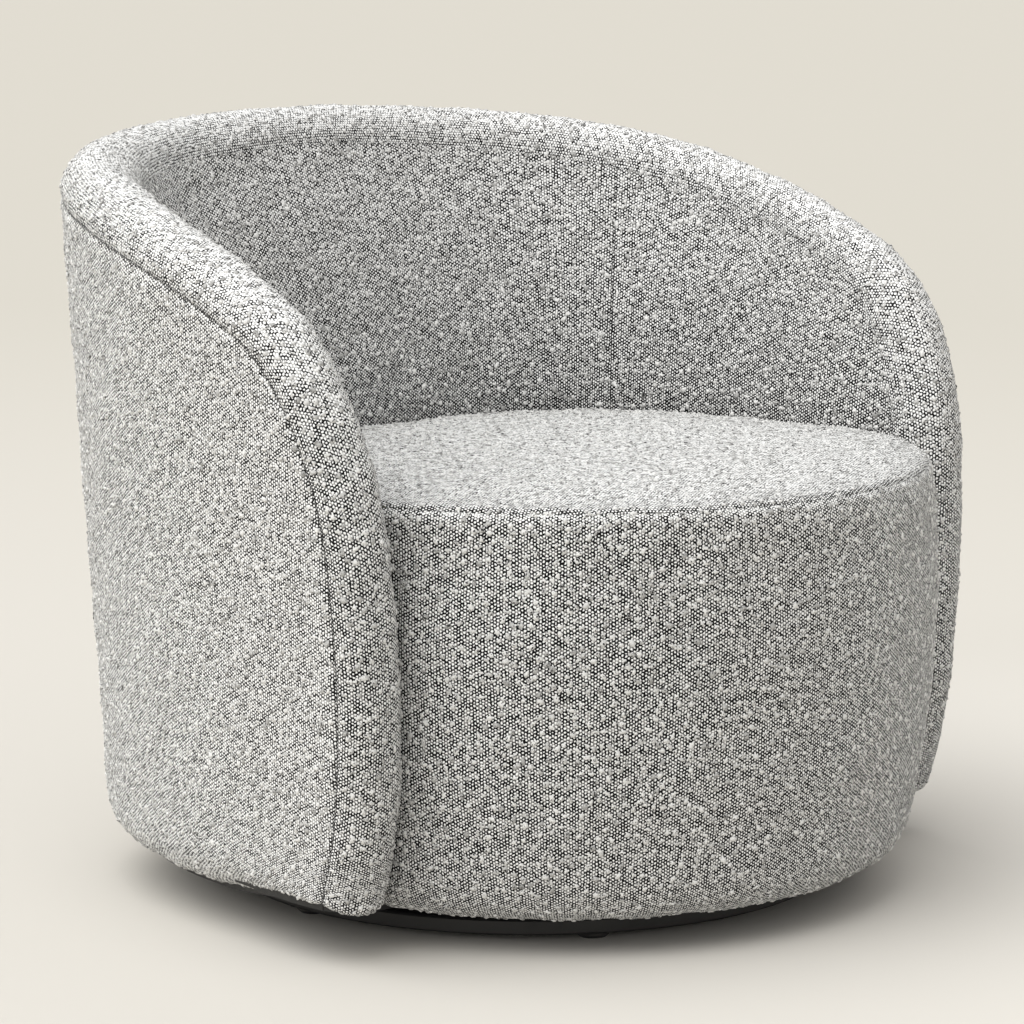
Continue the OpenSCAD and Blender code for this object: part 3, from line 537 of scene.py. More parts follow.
@dataclass
class Panel:
    """One sewn panel of cloth as a grid of points, with its place in the weave and its seams.

    Where it is held, the cloth doesn't swell. Where it isn't seen, no slubs stand. A share at each point sets
    how far its loops hide the ground, with painted light and shade mixed into it, and swells is its share of
    the swelling.
    """

    name: str
    node: str
    fill: float
    face: np.ndarray
    back: np.ndarray
    weave: np.ndarray
    seams: list
    held: np.ndarray
    crowd: np.ndarray
    seen: np.ndarray = 1.0
    swells: np.ndarray = 1.0
    wrap: bool = False

    def __post_init__(self) -> None:
        """Spreads single values over the whole panel."""
        for name in ("held", "crowd", "seen", "swells"):
            setattr(self, name, getattr(self, name) + np.zeros(self.face.shape[:2]))

    @property
    def outwards(self) -> bool:
        """Whether the grid's own side looks away from the back."""
        side = np.cross(np.gradient(self.face, axis=1), np.gradient(self.face, axis=0))
        return bool((side * (self.face - self.back)).sum() > 0)

    @property
    def numbers(self) -> np.ndarray:
        """Vertex number of each point of the face."""
        rows, columns = self.face.shape[:2]
        return np.arange(rows * columns).reshape(rows, columns)

    def normals(self) -> np.ndarray:
        """Which way the padding presses the face.

        Returns:
            Unit normals, pointing out of the padding.
        """
        ring = self.face
        if self.wrap:
            ring = np.concatenate([ring[:, -1:], ring, ring[:, :1]], axis=1)
        across = np.gradient(ring, axis=1)[:, 1:-1] if self.wrap else np.gradient(ring, axis=1)
        n = unit(np.cross(across, np.gradient(self.face, axis=0)) + 1e-12)
        return n if self.outwards else -n

    def refine(self) -> None:
        """Doubles the grid, with new points on smooth curves through the old ones."""
        for name in ("face", "back", "weave", "seen", "held", "crowd"):
            setattr(self, name, self.doubled(getattr(self, name)))
        self.seams = [seam.doubled(self.doubled) for seam in self.seams]

    def doubled(self, grid: np.ndarray) -> np.ndarray:
        """Adds a point between each two of a grid, in rows and in columns.

        Args:
            grid: values at the points of the panel.

        Returns:
            The finer grid.
        """
        for axis, wrap in ((0, False), (1, self.wrap)):
            g = np.moveaxis(grid, axis, 0)
            if wrap:
                before, after, last = g[[-1]], g[[0, 1]], len(g)
            else:
                before, after, last = 2 * g[:1] - g[1:2], 2 * g[-1:] - g[-2:-1], len(g) - 1
            wide = np.concatenate([before, g, after])
            out = np.empty((len(g) + last,) + g.shape[1:])
            out[0::2] = g
            near, far = wide[1 : last + 1] + wide[2 : last + 2], wide[:last] + wide[3 : last + 3]
            out[1::2] = (9 * near - far) / 16
            grid = np.moveaxis(out, 0, axis)
        return grid

    def quads(self, start: int = 0) -> np.ndarray:
        """Faces of one side of the panel.

        Args:
            start: number of its first vertex.

        Returns:
            Four vertex numbers for each face.
        """
        number = self.numbers + start
        if self.wrap:
            number = np.concatenate([number, number[:, :1]], axis=1)
        corners = [number[:-1, :-1], number[:-1, 1:], number[1:, 1:], number[1:, :-1]]
        quads = np.stack(corners, axis=-1).reshape(-1, 4)
        return quads if self.outwards else quads[:, ::-1]

    def loops_shown_and_painted_light(self) -> np.ndarray:
        """How far the loops hide the ground, with painted light and shade in it.

        Returns:
            A share for each point, raised as painted light where the cloth faces up, and lowered where a seam
            parts the loops and shows the dark ground, which partly paints shade into the seam.
        """
        # painted light: the loops hide more of the black ground, so the cloth is paler, where it faces up
        crowd = self.crowd + 0.34 * np.maximum(0, self.normals()[..., 2])
        # along a seam the parted loops show the dark ground, which partly paints shade into the seam's groove
        for seam in self.seams:
            crowd = crowd - 0.22 * seam.pull * np.exp(-((seam.far / (2 * MM)) ** 2))
        return crowd

    def nap(self) -> np.ndarray:
        """Where slub loops stand.

        Returns:
            A share for each point, none in a seam or out of sight.
        """
        nap = self.seen
        for seam in self.seams:
            nap = nap * mix(1, smooth((seam.far - 2 * MM) / (4 * MM)), min(1, 2 * seam.pull))
        return nap

    def borders(self) -> list[np.ndarray]:
        """Vertex numbers round the panel.

        Returns:
            Closed loops, in order.
        """
        number = self.numbers
        if self.wrap:
            return [number[0, ::-1], number[-1]]
        return [np.concatenate([number[0, ::-1], number[1:, 0], number[-1, 1:], number[-2:0:-1, -1]])]

    def mesh(self) -> Mesh:
        """Closes the panel: its face, its back and the folded edge between them.

        Returns:
            The mesh, with the weave's map, the nap, and the loops' crowding with its painted light and shade.
        """
        count = self.numbers.size
        faces = self.quads().tolist() + self.quads(count)[:, ::-1].tolist()
        for ring in self.borders():
            after = np.roll(ring, -1)
            edge = np.stack([ring, after, after + count, ring + count], axis=-1)
            faces += (edge if self.outwards else edge[:, ::-1]).tolist()
        points = np.concatenate([self.face.reshape(-1, 3), self.back.reshape(-1, 3)])
        mesh = bpy.data.meshes.new(self.name)
        mesh.from_pydata(points.tolist(), [], faces)
        mesh.polygons.foreach_set("use_smooth", np.ones(len(mesh.polygons), bool))
        vertex = np.empty(len(mesh.loops), int)
        mesh.loops.foreach_get("vertex_index", vertex)
        weave = self.weave.reshape(-1, 2)[vertex % count]
        mesh.uv_layers.new(name="weave").data.foreach_set("uv", weave.astype(np.float32).ravel())
        for name, values, on_back in (("nap", self.nap(), 0), ("crowd", self.loops_shown_and_painted_light(), 1)):
            both = np.concatenate([values.ravel(), values.ravel() * on_back]).astype(np.float32)
            mesh.attributes.new(name, "FLOAT", "POINT").data.foreach_set("value", both)
        self.crease(mesh, count)
        mesh.update()
        return mesh

    def crease(self, mesh: Mesh, count: int) -> None:
        """Keeps the folded border out of the face's soft shading.

        Args:
            mesh: the panel's mesh.
            count: number of points of its face.
        """
        border = np.zeros(2 * count, bool)
        for ring in self.borders():
            border[ring] = border[ring + count] = True
        ends = np.empty(2 * len(mesh.edges), int)
        mesh.edges.foreach_get("vertices", ends)
        ends = ends.reshape(-1, 2)
        sharp = border[ends].all(axis=1) & ((ends < count).all(axis=1) | (ends >= count).all(axis=1))
        mesh.attributes.new("sharp_edge", "BOOLEAN", "EDGE").data.foreach_set("value", sharp)


@dataclass
class Swelling:
    """Cloth simulation that blows a panel up between its sewn edges, as its padding does."""

    pressure: float = 4.0
    frames: int = 16
    reach: float = 0.0022
    cap: float = 0.0032

    def pressed(self, panel: Panel) -> np.ndarray:
        """Simulates the face of a panel.

        Args:
            panel: the panel, whose held points stay where they are.

        Returns:
            How far each point moves outwards.
        """
        scene = bpy.context.scene
        rest = panel.face.reshape(-1, 3)
        mesh = bpy.data.meshes.new("pressed_cloth")
        mesh.from_pydata(rest.tolist(), [], panel.quads().tolist())
        obj = placed("pressed_cloth", mesh)
        sewn = obj.vertex_groups.new(name="sewn")
        sewn.add(np.flatnonzero(panel.held.ravel() > 0.5).tolist(), 1.0, "REPLACE")
        cloth = obj.modifiers.new("cloth", "CLOTH")
        cloth.settings.vertex_group_mass = sewn.name
        cloth.settings.use_pressure = True
        cloth.settings.uniform_pressure_force = self.pressure
        cloth.settings.quality = 4
        cloth.settings.effector_weights.gravity = 0
        cloth.collision_settings.use_collision = False
        cloth.point_cache.frame_end = self.frames
        for number in range(1, self.frames + 1):
            scene.frame_set(number)
        shaped = obj.evaluated_get(bpy.context.evaluated_depsgraph_get())
        moved = np.empty(len(rest) * 3, np.float32)
        shaped.data.vertices.foreach_get("co", moved)
        scene.frame_set(1)
        bpy.data.objects.remove(obj)
        bpy.data.meshes.remove(mesh)
        return ((moved.reshape(-1, 3) - rest) * panel.normals().reshape(-1, 3)).sum(axis=1)

    def run(self, panel: Panel) -> None:
        """Moves a panel's face to where the padding presses it, scaled to the real cloth's reach.

        Args:
            panel: the panel.
        """
        out = self.pressed(panel)
        usual = np.percentile(out[panel.held.ravel() < 0.5], 80)
        out = np.minimum(np.maximum(out * self.reach / usual, 0), self.cap).reshape(panel.swells.shape)
        panel.face = panel.face + panel.normals() * (out * panel.swells)[..., None]
        LOG.info("%s swells %.2f mm before scaling", panel.name, usual / MM)


@dataclass(frozen=True)
class Ply:
    """One layer of a panel: how deep its face lies, how thick it is and how fine its grid."""

    depth: float
    thick: float
    step: float


CLOTH = Ply(0.0020, 0.0012, 0.010)
WADDING = Ply(0.0056, 0.0068, 0.020)
FOAM = Ply(0.0056, 0.0110, 0.020)


def to_borders(points: np.ndarray) -> tuple[np.ndarray, np.ndarray, np.ndarray]:
    """How far each point of a grid is from its last row, its first column and its last column."""
    up, across = spans(points), spans(points, 1)
    return up[-1] - up, across, across[:, -1:] - across


@dataclass
class Upholstery:
    """The seven panels of boucle, or the paddings under them.

    The heights and the drum's width set how finely a panel is meshed. The shifts keep the puckers of the
    drum's front and of the seat from matching those of the other seams.
    """

    shape: ChairShape
    ply: Ply = CLOTH
    outside_height: float = 0.62
    inside_height: float = 0.36
    drum_width: float = 1.35
    roll_gap: float = 0.003
    rim_turns: tuple = (10, 20, 29, 36, 40, 43, 44.6)
    rim_end: float = 45.4
    rim_steps: tuple = (0, 0.12, 0.25, 0.4, 0.55, 0.7, 0.8, 0.9, 1)
    back_seam_pull: float = 0.35
    crease_pull: float = 0.2
    seat_seam_pull: float = 0.28
    drum_shift: float = 5.3
    seat_shift: float = 8.1
    seam_dip: float = 0.0016
    seam_width: float = 0.0045
    pucker: float = 0.0013
    pucker_reach: float = 0.011
    pucker_waves: tuple = ((0.0135, 0.3), (0.019, 2.1), (0.031, 4.4))
    wave: float = 0.0007
    swelling: Swelling = field(default_factory=Swelling)

    def depth(self, seams: Sequence[Seam]) -> np.ndarray:
        """Depth of the cloth's face before it swells: slack in the middle, deeper at its seams."""
        dips = [self.seam_dip * s.pull * np.exp(-((s.far / self.seam_width) ** 2)) for s in seams]
        return self.ply.depth + np.maximum.reduce(dips)

    def cut(self, point: Callable[[np.ndarray], np.ndarray], seams: list, **rest: Any) -> Panel:
        """Cuts one panel to this ply's depth and thickness.

        Args:
            point: gives the panel's points at depths under the face of the cloth.
            seams: its seams.
            rest: the panel's other values.

        Returns:
            The panel.
        """
        depth = self.depth(seams)
        return Panel(face=point(depth), back=point(depth + self.ply.thick), seams=seams, **rest)

    def plan_lengths(self, p: np.ndarray, inset: float) -> np.ndarray:
        """Length round the shell's plan, for the weave's place across.

        Args:
            p: plan angles.
            inset: how far inside the outer face the layer is.

        Returns:
            Lengths from the middle of the back.
        """
        turns = np.linspace(-125, 125, 1001)
        run = spans(self.shape.plan(turns, 0.4, inset, 0))
        return np.interp(p, turns, run - run[500])

    def edge_columns(self, first: float, last: float) -> tuple[np.ndarray, np.ndarray]:
        """Columns of a panel below the rolled edge.

        Args:
            first: length along the whole edge at which the panel starts.
            last: length at which it ends.

        Returns:
            Shares of the arm front's top angle, and lengths along the edge.
        """
        runs = first + graded(last - first, self.ply.step)
        return self.shape.roll_frames(runs)["angle"] / self.shape.front_top[0], runs

    def outside(self) -> Panel:
        """Cuts the outside of the shell, from arm front to arm front.

        Returns:
            The panel.
        """
        shape = self.shape
        q, runs = self.edge_columns(shape.front_run, shape.whole - shape.front_run)
        low = shape.foot_z + FOOT_ROWS
        share = graded(self.outside_height, self.ply.step, first=False) / self.outside_height
        above = mix(low[-1], shape.edge_top(q * shape.front_top[0]), share[:, None])
        z = np.concatenate([np.repeat(low[:-1, None], len(q), 1), above])
        p = shape.wall_angle(q, z)
        below, across, beyond = to_borders(shape.outer(p, z, 0))

        def point(d: np.ndarray) -> np.ndarray:
            """Points of the outside at depth d."""
            return shape.lifted(shape.outer(p, z, d))

        return self.cut(
            point,
            [Seam(below, runs + 0 * z, 1.0), Seam(across, z, 1.0), Seam(beyond, z, 1.0)],
            name="outside_boucle",
            node="outside_cover",
            fill=0.5,
            weave=np.stack([self.plan_lengths(p, 0), z], axis=-1),
            held=(np.minimum(below, np.minimum(across, beyond)) < ON_EDGE) | (z < shape.foot_z + 10 * MM),
            # painted light: the outside is set paler than the other panels
            crowd=0.12,
        )

    def band(self) -> Panel:
        """Cuts the band over the rolled edge and down both arm fronts.

        Returns:
            The panel.
        """
        shape = self.shape
        runs = graded(shape.whole, self.ply.step)
        roll = shape.roll_frames(runs)
        width = math.pi * shape.roll_r
        away = graded(width, self.ply.step)[:, None] + 0 * runs
        turn = away / shape.roll_r * (1 - 2 * self.roll_gap) + self.roll_gap * math.pi
        low = roll["height"] < shape.foot_gap + shape.arm_foot_round
        foot = np.where(low, shape.turned_foot(roll["height"], shape.arm_foot_round, 0)[0], 0)

        # past its lean the band leaves the circle and runs straight into the inner wall
        lean = shape.lean(roll["angle"])
        line = np.maximum(0, (turn - (math.pi - lean)) / np.maximum(lean, ON_EDGE))
        across = np.where(line > 0, -np.cos(lean) - line * np.sin(lean) * np.tan(lean), np.cos(turn))
        above = np.where(line > 0, np.sin(lean) * (1 - line), np.sin(turn))

        def point(d: np.ndarray) -> np.ndarray:
            """Points of the band.

            Args:
                d: depth.

            Returns:
                Points, drawn in where the band turns under an arm's foot.
            """
            size = np.linalg.norm(roll["out"], axis=-1, keepdims=True)
            out = roll["out"] * across[..., None] + roll["over"] * size * above[..., None]
            return shape.lifted(roll["middle"] + out * ((shape.roll_r - d - foot) / shape.roll_r)[..., None])

        ends = (runs == runs[0]) | (runs == runs[-1])
        return self.cut(
            point,
            [Seam(away, runs + 0 * away, 1.0)],
            name="band_boucle",
            node="band_cover",
            fill=0.5,
            weave=np.stack([away, runs + 0 * away], axis=-1),
            held=(away < ON_EDGE) | (width - away < ON_EDGE) | ends,
            crowd=0.02,
            swells=smooth((width - away) / (60 * MM)),
        )

    def inside(self, name: str, node: str, first: float, last: float) -> Panel:
        """Cuts a panel of the inner wall between two lengths along the edge.

        Args:
            name: name of the piece.
            node: frame node that it stands for.
            first: length along the whole edge at which it starts.
            last: length at which it ends.

        Returns:
            The panel.
        """
        shape = self.shape
        q = self.edge_columns(first, last)[0]
        angle = q * shape.front_top[0]
        past_crease = smooth((np.abs(angle) - shape.crease_angle) / 3)
        floor = mix(shape.inside_z, shape.plinth_top + shape.clear, past_crease)
        share = graded(self.inside_height, self.ply.step, first=False) / self.inside_height
        z = mix(floor, shape.edge_top(angle), share[:, None])
        p = shape.wall_angle(q, z)
        below, across, beyond = to_borders(shape.inner(p, z, 0))
        at_back = np.abs(np.abs(angle[[0, -1]]) - shape.seam_angle) < 1
        pulls = np.where(at_back, self.back_seam_pull, self.crease_pull)
        hidden = z < shape.seat_h - 12 * MM

        def point(d: np.ndarray) -> np.ndarray:
            """Points of the inner wall at depth d."""
            return shape.inner(p, z, d)

        panel = self.cut(
            point,
            [Seam(far, z, float(pull)) for far, pull in zip((across, beyond), pulls)],
            name=name,
            node=node,
            fill=0.8,
            weave=np.stack([self.plan_lengths(p, shape.wall_t), z], axis=-1),
            held=(np.minimum(below, np.minimum(across, beyond)) < ON_EDGE) | hidden,
            # painted shade: the inner walls are set darker, and darker still further down from the roll
            crowd=0.13 * np.exp(-below / (60 * MM)) - 0.11,
            seen=np.where(hidden & (np.abs(p) < 100), 0.0, 1.0),
            swells=smooth(below / (80 * MM)),
        )
        if self.ply is FOAM:
            panel.back = shape.plan(p, z, shape.foam_back, z)
        return panel

    def front(self) -> Panel:
        """Cuts the drum's front, from its turned-under foot to the seam round the seat.

        Returns:
            The panel.
        """
        shape = self.shape
        share = graded(self.drum_width, self.ply.step) / self.drum_width
        low = shape.foot_z + FOOT_ROWS
        high = shape.seat_h - shape.seat_round
        rise = np.linspace(low[-1], high, round((high - low[-1]) / self.ply.step) + 1)
        turns = np.array(self.rim_turns)[:, None]
        z = np.repeat(np.concatenate([low[:-1], rise])[:, None], len(share), 1)
        levels = np.concatenate([z, np.full((len(turns), len(share)), shape.seat_h)])
        start = shape.drum_start(levels)
        p = mix(start, 360 - start, share)
        q = np.where(p > 180, p - 360, p)
        puffed = smooth(np.minimum(share, 1 - share) / 0.05)

        def point(d: np.ndarray, full: float = 1) -> np.ndarray:
            """Points of the drum's front.

            Args:
                d: depth.
                full: share of its swell.

            Returns:
                Points of the wall, and over them of the rim.
            """
            wall = shape.drum(q[: len(z)], z, d[: len(z)], full * puffed, full)
            return np.concatenate([wall, shape.seat_edge(p[len(z) :], turns, d[len(z) :], 0)])

        plain = point(0 * levels)
        below, across, beyond = to_borders(plain)
        low_down = plain[..., 2] < shape.foot_z + 10 * MM
        seams = [Seam(below, across + self.drum_shift, self.seat_seam_pull)]
        panel = self.cut(
            point,
            seams,
            name="drum_front_boucle",
            node="front_cover",
            fill=0.6,
            weave=np.stack([np.radians(p) * shape.drum_r, spans(plain)], axis=-1),
            held=(below < ON_EDGE) | (np.minimum(across, beyond) < 6 * MM) | low_down,
            crowd=-0.01,
        )
        if self.ply is not CLOTH:
            panel.back = point(self.depth(seams) + self.ply.thick, 0)
        return panel

    def seat(self) -> Panel:
        """Cuts the top of the seat, crowned, with its soft edge, its seam at the front and its tucked skirt.

        Returns:
            The panel.
        """
        shape = self.shape
        corner = shape.drum_front_angle
        by_wall = np.concatenate([np.arange(0, corner - 1.5, 1.75), [corner - 1, corner]])
        half = np.concatenate([by_wall, np.linspace(corner, 180, 44)[1:]])
        p = np.concatenate([half, 360 - half[-2:0:-1]])
        at_front = (p >= corner) & (p <= 360 - corner)
        share = np.linspace(0.004, 1, 40)[:-1, None]
        steps = np.array(self.rim_steps)[:, None]
        level = np.maximum(0, 1 - steps / shape.tuck_share)
        turn = np.where(at_front, mix(90, self.rim_end, steps), 90 * level)
        tucked = np.maximum(0, steps - shape.tuck_share) / (1 - shape.tuck_share)
        drop = np.where(at_front, 0, shape.seat_tuck * tucked)
        centre = np.array([0, shape.drum_y])

        def point(d: np.ndarray) -> np.ndarray:
            """Points of the seat's top.

            Args:
                d: depth.

            Returns:
                Points of the crowned middle, and round them of the rim.
            """
            edge = shape.seat_edge(p, 90.0, 0.0, 0.0)[:, :2]
            flat = centre + (edge - centre) * share[..., None]
            z = shape.seat_h - d[: len(share)] + shape.seat_crown * (1 - share**2)
            rim = shape.seat_edge(p, turn, d[len(share) :], drop)
            return np.concatenate([np.concatenate([flat, z[..., None]], axis=-1), rim])

        zero = np.zeros((len(share) + len(steps), len(p)))
        plain = point(zero)
        up = spans(plain)
        far = np.where(at_front, up[-1] - up, 1.0)
        outline = plain[len(share)]
        row = np.arange(len(zero))[:, None]
        panel = self.cut(
            point,
            [Seam(far, spans(outline) + self.seat_shift + zero, self.seat_seam_pull)],
            name="seat_top_boucle",
            node="seat_top_cover",
            fill=0.85,
            weave=unit(outline[:, :2] - centre) * up[..., None],
            held=np.where(at_front, up[-1] - up < ON_EDGE, row >= len(share) + 3) | (row < 1),
            # the seat is set darker to offset its painted light from facing up, and darker still near its
            # front seam
            crowd=-0.05 - 0.2 * np.exp(-far / (28 * MM)),
            seen=np.where(at_front | (row < len(share) + 6), 1.0, 0.0),
            wrap=True,
        )
        if self.ply is FOAM:
            panel.back = np.stack([panel.face[..., 0], panel.face[..., 1], zero + shape.inside_z], axis=-1)
        return panel

    def relief(self, panel: Panel) -> None:
        """Pulls small puckers into the cloth beside its seams and lets the padding's soft unevenness show.

        Args:
            panel: the panel, whose face moves.
        """
        x, y, z = np.moveaxis(panel.face, -1, 0)
        # the stuffing is uneven in waves 65 to 130 mm long
        broad = np.sin(61 * x + 13 * z + 1.1) * np.sin(47 * y + 29 * z + 0.4)
        lift = self.wave * (broad + 0.6 * np.sin(97 * y - 53 * x + 83 * z + 2.0))
        fade = np.ones_like(lift)
        for seam in panel.seams:
            waves = [np.sin(2 * math.pi * seam.run / length + start) for length, start in self.pucker_waves]
            reach = np.exp(-seam.far / self.pucker_reach) * smooth(seam.far / (3 * MM))
            lift = lift + self.pucker * seam.pull * sum(waves) / len(waves) * reach
            fade = fade * smooth(seam.far / (4 * MM))
        panel.face = panel.face + panel.normals() * (lift * fade)[..., None]

    def panels(self) -> list[Panel]:
        """Cuts all seven panels.

        Returns:
            The panels.
        """
        shape = self.shape
        whole, start = shape.whole, shape.front_run
        seam = float(shape.on_top(shape.seam_angle, "run", shape.front_end))
        return [
            self.outside(),
            self.band(),
            self.inside("inside_back_boucle", "inside_back_cover", seam, whole - seam),
            self.inside("inside_arm_boucle_right", "inside_arm_cover_right", start, seam),
            self.inside("inside_arm_boucle_left", "inside_arm_cover_left", whole - seam, whole - start),
            self.front(),
            self.seat(),
        ]

    def sewn(self) -> list[Panel]:
        """Makes the cloth panels, swollen by their padding, finely meshed and puckered.

        Returns:
            The panels.
        """
        made = self.panels()
        for panel in made:
            self.swelling.run(panel)
            panel.refine()
            self.relief(panel)
        return made


@dataclass(frozen=True)
class Finish:
    """A procedural finish, named for the real material. Noise scales are spots in a metre, where not said."""

    name: str

    def build(self) -> Material:
        """Makes the material.

        Returns:
            The material, with its look on one shader.
        """
        material = bpy.data.materials.new(self.name)
        material.use_nodes = True
        tree = material.node_tree
        tree.nodes.clear()
        shader = add(tree, "BsdfPrincipled", self.look(tree))
        add(tree, "OutputMaterial", {"Surface": shader})
        return material

    def look(self, tree: NodeTree) -> dict:
        """Adds the finish's own nodes to a tree and gives the shader's values; each finish has its own."""
        raise NotImplementedError(self.name)


@dataclass(frozen=True)
class Boucle(Finish):
    """Woven boucle of off-white loops on a black ground.

    Loops 3.2 mm apart in a hexagonal weave stand on a black ground and hide it where they lie close or where
    painted light pales the cloth, and the fluffy yarn scatters light, which gives a pale sheen at a glance.
    """

    name: str = "boucle_woven_black_and_off_white"
    loop_mm: float = 3.2
    stray_mm: float = 1.7
    ground: str = "#060607"
    yarn_light: str = "#fdfdfb"
    yarn_dark: str = "#8b8a87"
    threshold: float = 0.14
    softness: float = 0.16

    def look(self, tree: NodeTree) -> dict:
        """Weaves the cloth on the piece's own map, turned from metres into millimetres.

        Args:
            tree: the material's tree.

        Returns:
            The shader's values.
        """
        own_map = add(tree, "UVMap", uv_map="weave")
        in_mm = add(tree, "Mapping", {"Vector": own_map, "Scale": (1000, 1000, 1000)})
        # the panel's own share, in which painted light and shade are mixed, sets how far the loops hide the
        # ground
        crowd = add(tree, "Attribute", attribute_name="crowd").outputs["Fac"]
        # slubs are 5 to 9 mm long, the yarn's twist shows every 2 mm and its fibres every 0.4 mm, and about
        # every centimetre the loops stand closer or wider apart; the numbers are spots in a millimetre, then
        # detail and roughness
        sorts = {
            "stray": (0.16, 2.0, 0.6),
            "slub": (0.17, 2.0, 0.6),
            "twist": (0.42, 3.0, 0.7),
            "patch": (0.10, 1.0, 0.5),
            "fibre": (2.6, 2.0, 0.6),
        }
        spots = {}
        for sort, (size, detail, rough) in sorts.items():
            values = {"Vector": in_mm, "Scale": size, "Detail": detail, "Roughness": rough}
            spots[sort] = add(tree, "TexNoise", values)
        # the loops stray about half a millimetre from their rows
        stray = spots["stray"].outputs["Color"]
        centred = add(tree, "VectorMath", {0: stray, 1: (0.5, 0.5, 0.5)}, operation="SUBTRACT")
        wander = add(tree, "VectorMath", {0: centred, "Scale": 2 * self.stray_mm}, operation="SCALE")
        at = add(tree, "VectorMath", {0: in_mm, 1: wander}, operation="ADD")
        wave = 2 * math.pi / (self.loop_mm * math.cos(math.pi / 6))
        loops = 0.0
        for turn in (0, math.pi / 3, 2 * math.pi / 3):
            row = (wave * math.cos(turn), wave * math.sin(turn), 0)
            across = add(tree, "VectorMath", {0: at, 1: row}, operation="DOT_PRODUCT")
            swing = add(tree, "Math", {0: across.outputs["Value"]}, operation="COSINE")
            loops = add(tree, "Math", {0: swing, 1: 1 / 3, 2: loops}, operation="MULTIPLY_ADD")
        cover = add(tree, "Math", {0: loops, 1: crowd}, operation="ADD")
        steps = {
            "slub": {1: 0.47, 2: 0.66, 3: 0.0, 4: 0.95},
            "twist": {1: 0.25, 2: 0.75, 3: -0.48, 4: 0.48},
            "patch": {1: 0.32, 2: 0.68, 3: -0.16, 4: 0.16},
        }
        for sort, ends in steps.items():
            step = add(tree, "MapRange", {0: spots[sort], **ends}, **SOFT)
            cover = add(tree, "Math", {0: cover, 1: step}, operation="ADD")
        ends = {1: self.threshold - self.softness, 2: self.threshold + self.softness}
        yarn = add(tree, "MapRange", {0: cover, **ends}, **SOFT)
        # painted shade and light: each loop is lighter on top and darker at its flanks, and paler still where
        # the panel's share carries painted light
        lit = add(tree, "Math", {0: spots["twist"], 1: 0.9, 2: loops}, operation="MULTIPLY_ADD")
        lit = add(tree, "Math", {0: crowd, 1: 1.6, 2: lit}, operation="MULTIPLY_ADD")
        shade = add(tree, "MapRange", {0: lit, 1: 0.05, 2: 1.05}, **SOFT)
        light = add(tree, "Mix", {0: shade, 6: self.yarn_dark, 7: self.yarn_light}, data_type="RGBA")
        colour = add(tree, "Mix", {0: yarn, 6: self.ground, 7: light.outputs[2]}, data_type="RGBA")
        # loops stand under a millimetre over the ground, and their fibres a fifth of that
        rise = add(tree, "Math", {0: loops, 1: 0.6, 2: yarn}, operation="MULTIPLY_ADD")
        rise = add(tree, "Math", {0: spots["fibre"], 1: 0.22, 2: rise}, operation="MULTIPLY_ADD")
        bump = add(tree, "Bump", {"Height": rise, "Strength": 0.8, "Distance": 0.0007})
        return {
            "Base Color": colour.outputs[2], "Roughness": 0.93, "Sheen Weight": 0.3, "Sheen Roughness": 0.45,
            "Sheen Tint": "#f6f5f2", "Specular IOR Level": 0.15, "Normal": bump,
        }


@dataclass(frozen=True)
class SlubYarn(Finish):
    """Fluffy off-white slub yarn standing on the cloth: soft, matt, each loop a little lighter or darker.

    Its fluff is 1 mm wide, and the gaps between its strands are 2 mm apart.
    """

    name: str = "slub_yarn_off_white"
    light: str = "#ecebe8"
    dark: str = "#757471"
    gap: str = "#2a2a2a"

    def look(self, tree: NodeTree) -> dict:
        """Lays the fluff and the gaps over each loop's own tone.

        Args:
            tree: the material's tree.

        Returns:
            The shader's values.
        """
        tone = add(tree, "Attribute", attribute_name="tone").outputs["Fac"]
        where = add(tree, "TexCoord").outputs["Object"]
        fluff = add(tree, "TexNoise", {"Vector": where, "Scale": 900.0, "Detail": 3.0, "Roughness": 0.7})
        strands = add(tree, "TexNoise", {"Vector": where, "Scale": 420.0, "Detail": 2.0, "Roughness": 0.6})
        # painted shade: the fluff is lighter where its bump stands high and darker in its hollows, over each
        # loop's own random tone
        lit = add(tree, "Math", {0: fluff, 1: 1.2, 2: tone}, operation="MULTIPLY_ADD")
        share = add(tree, "MapRange", {0: lit, 1: 0.1, 2: 1.3}, **SOFT)
        parted = add(tree, "MapRange", {0: strands, 1: 0.36, 2: 0.46}, **SOFT)
        yarn = add(tree, "Mix", {0: share, 6: self.dark, 7: self.light}, data_type="RGBA")
        colour = add(tree, "Mix", {0: parted, 6: self.gap, 7: yarn.outputs[2]}, data_type="RGBA")
        bump = add(tree, "Bump", {"Height": fluff, "Strength": 0.9, "Distance": 0.0010})
        return {
            "Base Color": colour.outputs[2], "Roughness": 0.95, "Sheen Weight": 0.2, "Sheen Roughness": 0.5,
            "Specular IOR Level": 0.2, "Normal": bump,
        }


@dataclass(frozen=True)
class SeamThread(Finish):
    """Bonded black sewing thread: a dull gleam along its 0.7 mm twist, sunk in the seam, its black also
    standing in for the shade in the seam's groove.
    """

    name: str = "bonded_thread_black_painted_seam_shade"

    def look(self, tree: NodeTree) -> dict:
        """Twists the thread.

        Args:
            tree: the material's tree.

        Returns:
            The shader's values.
        """
        where = add(tree, "TexCoord").outputs["Object"]
        twist = add(tree, "TexNoise", {"Vector": where, "Scale": 1500.0, "Detail": 2.0, "Roughness": 0.6})
        # the thread's black also paints shade into the seam's groove
        colour = add(tree, "Mix", {0: twist, 6: "#0d0d0e", 7: "#242426"}, data_type="RGBA")
        bump = add(tree, "Bump", {"Height": twist, "Strength": 0.5, "Distance": 0.0003})
        return {"Base Color": colour.outputs[2], "Roughness": 0.6, "Normal": bump}


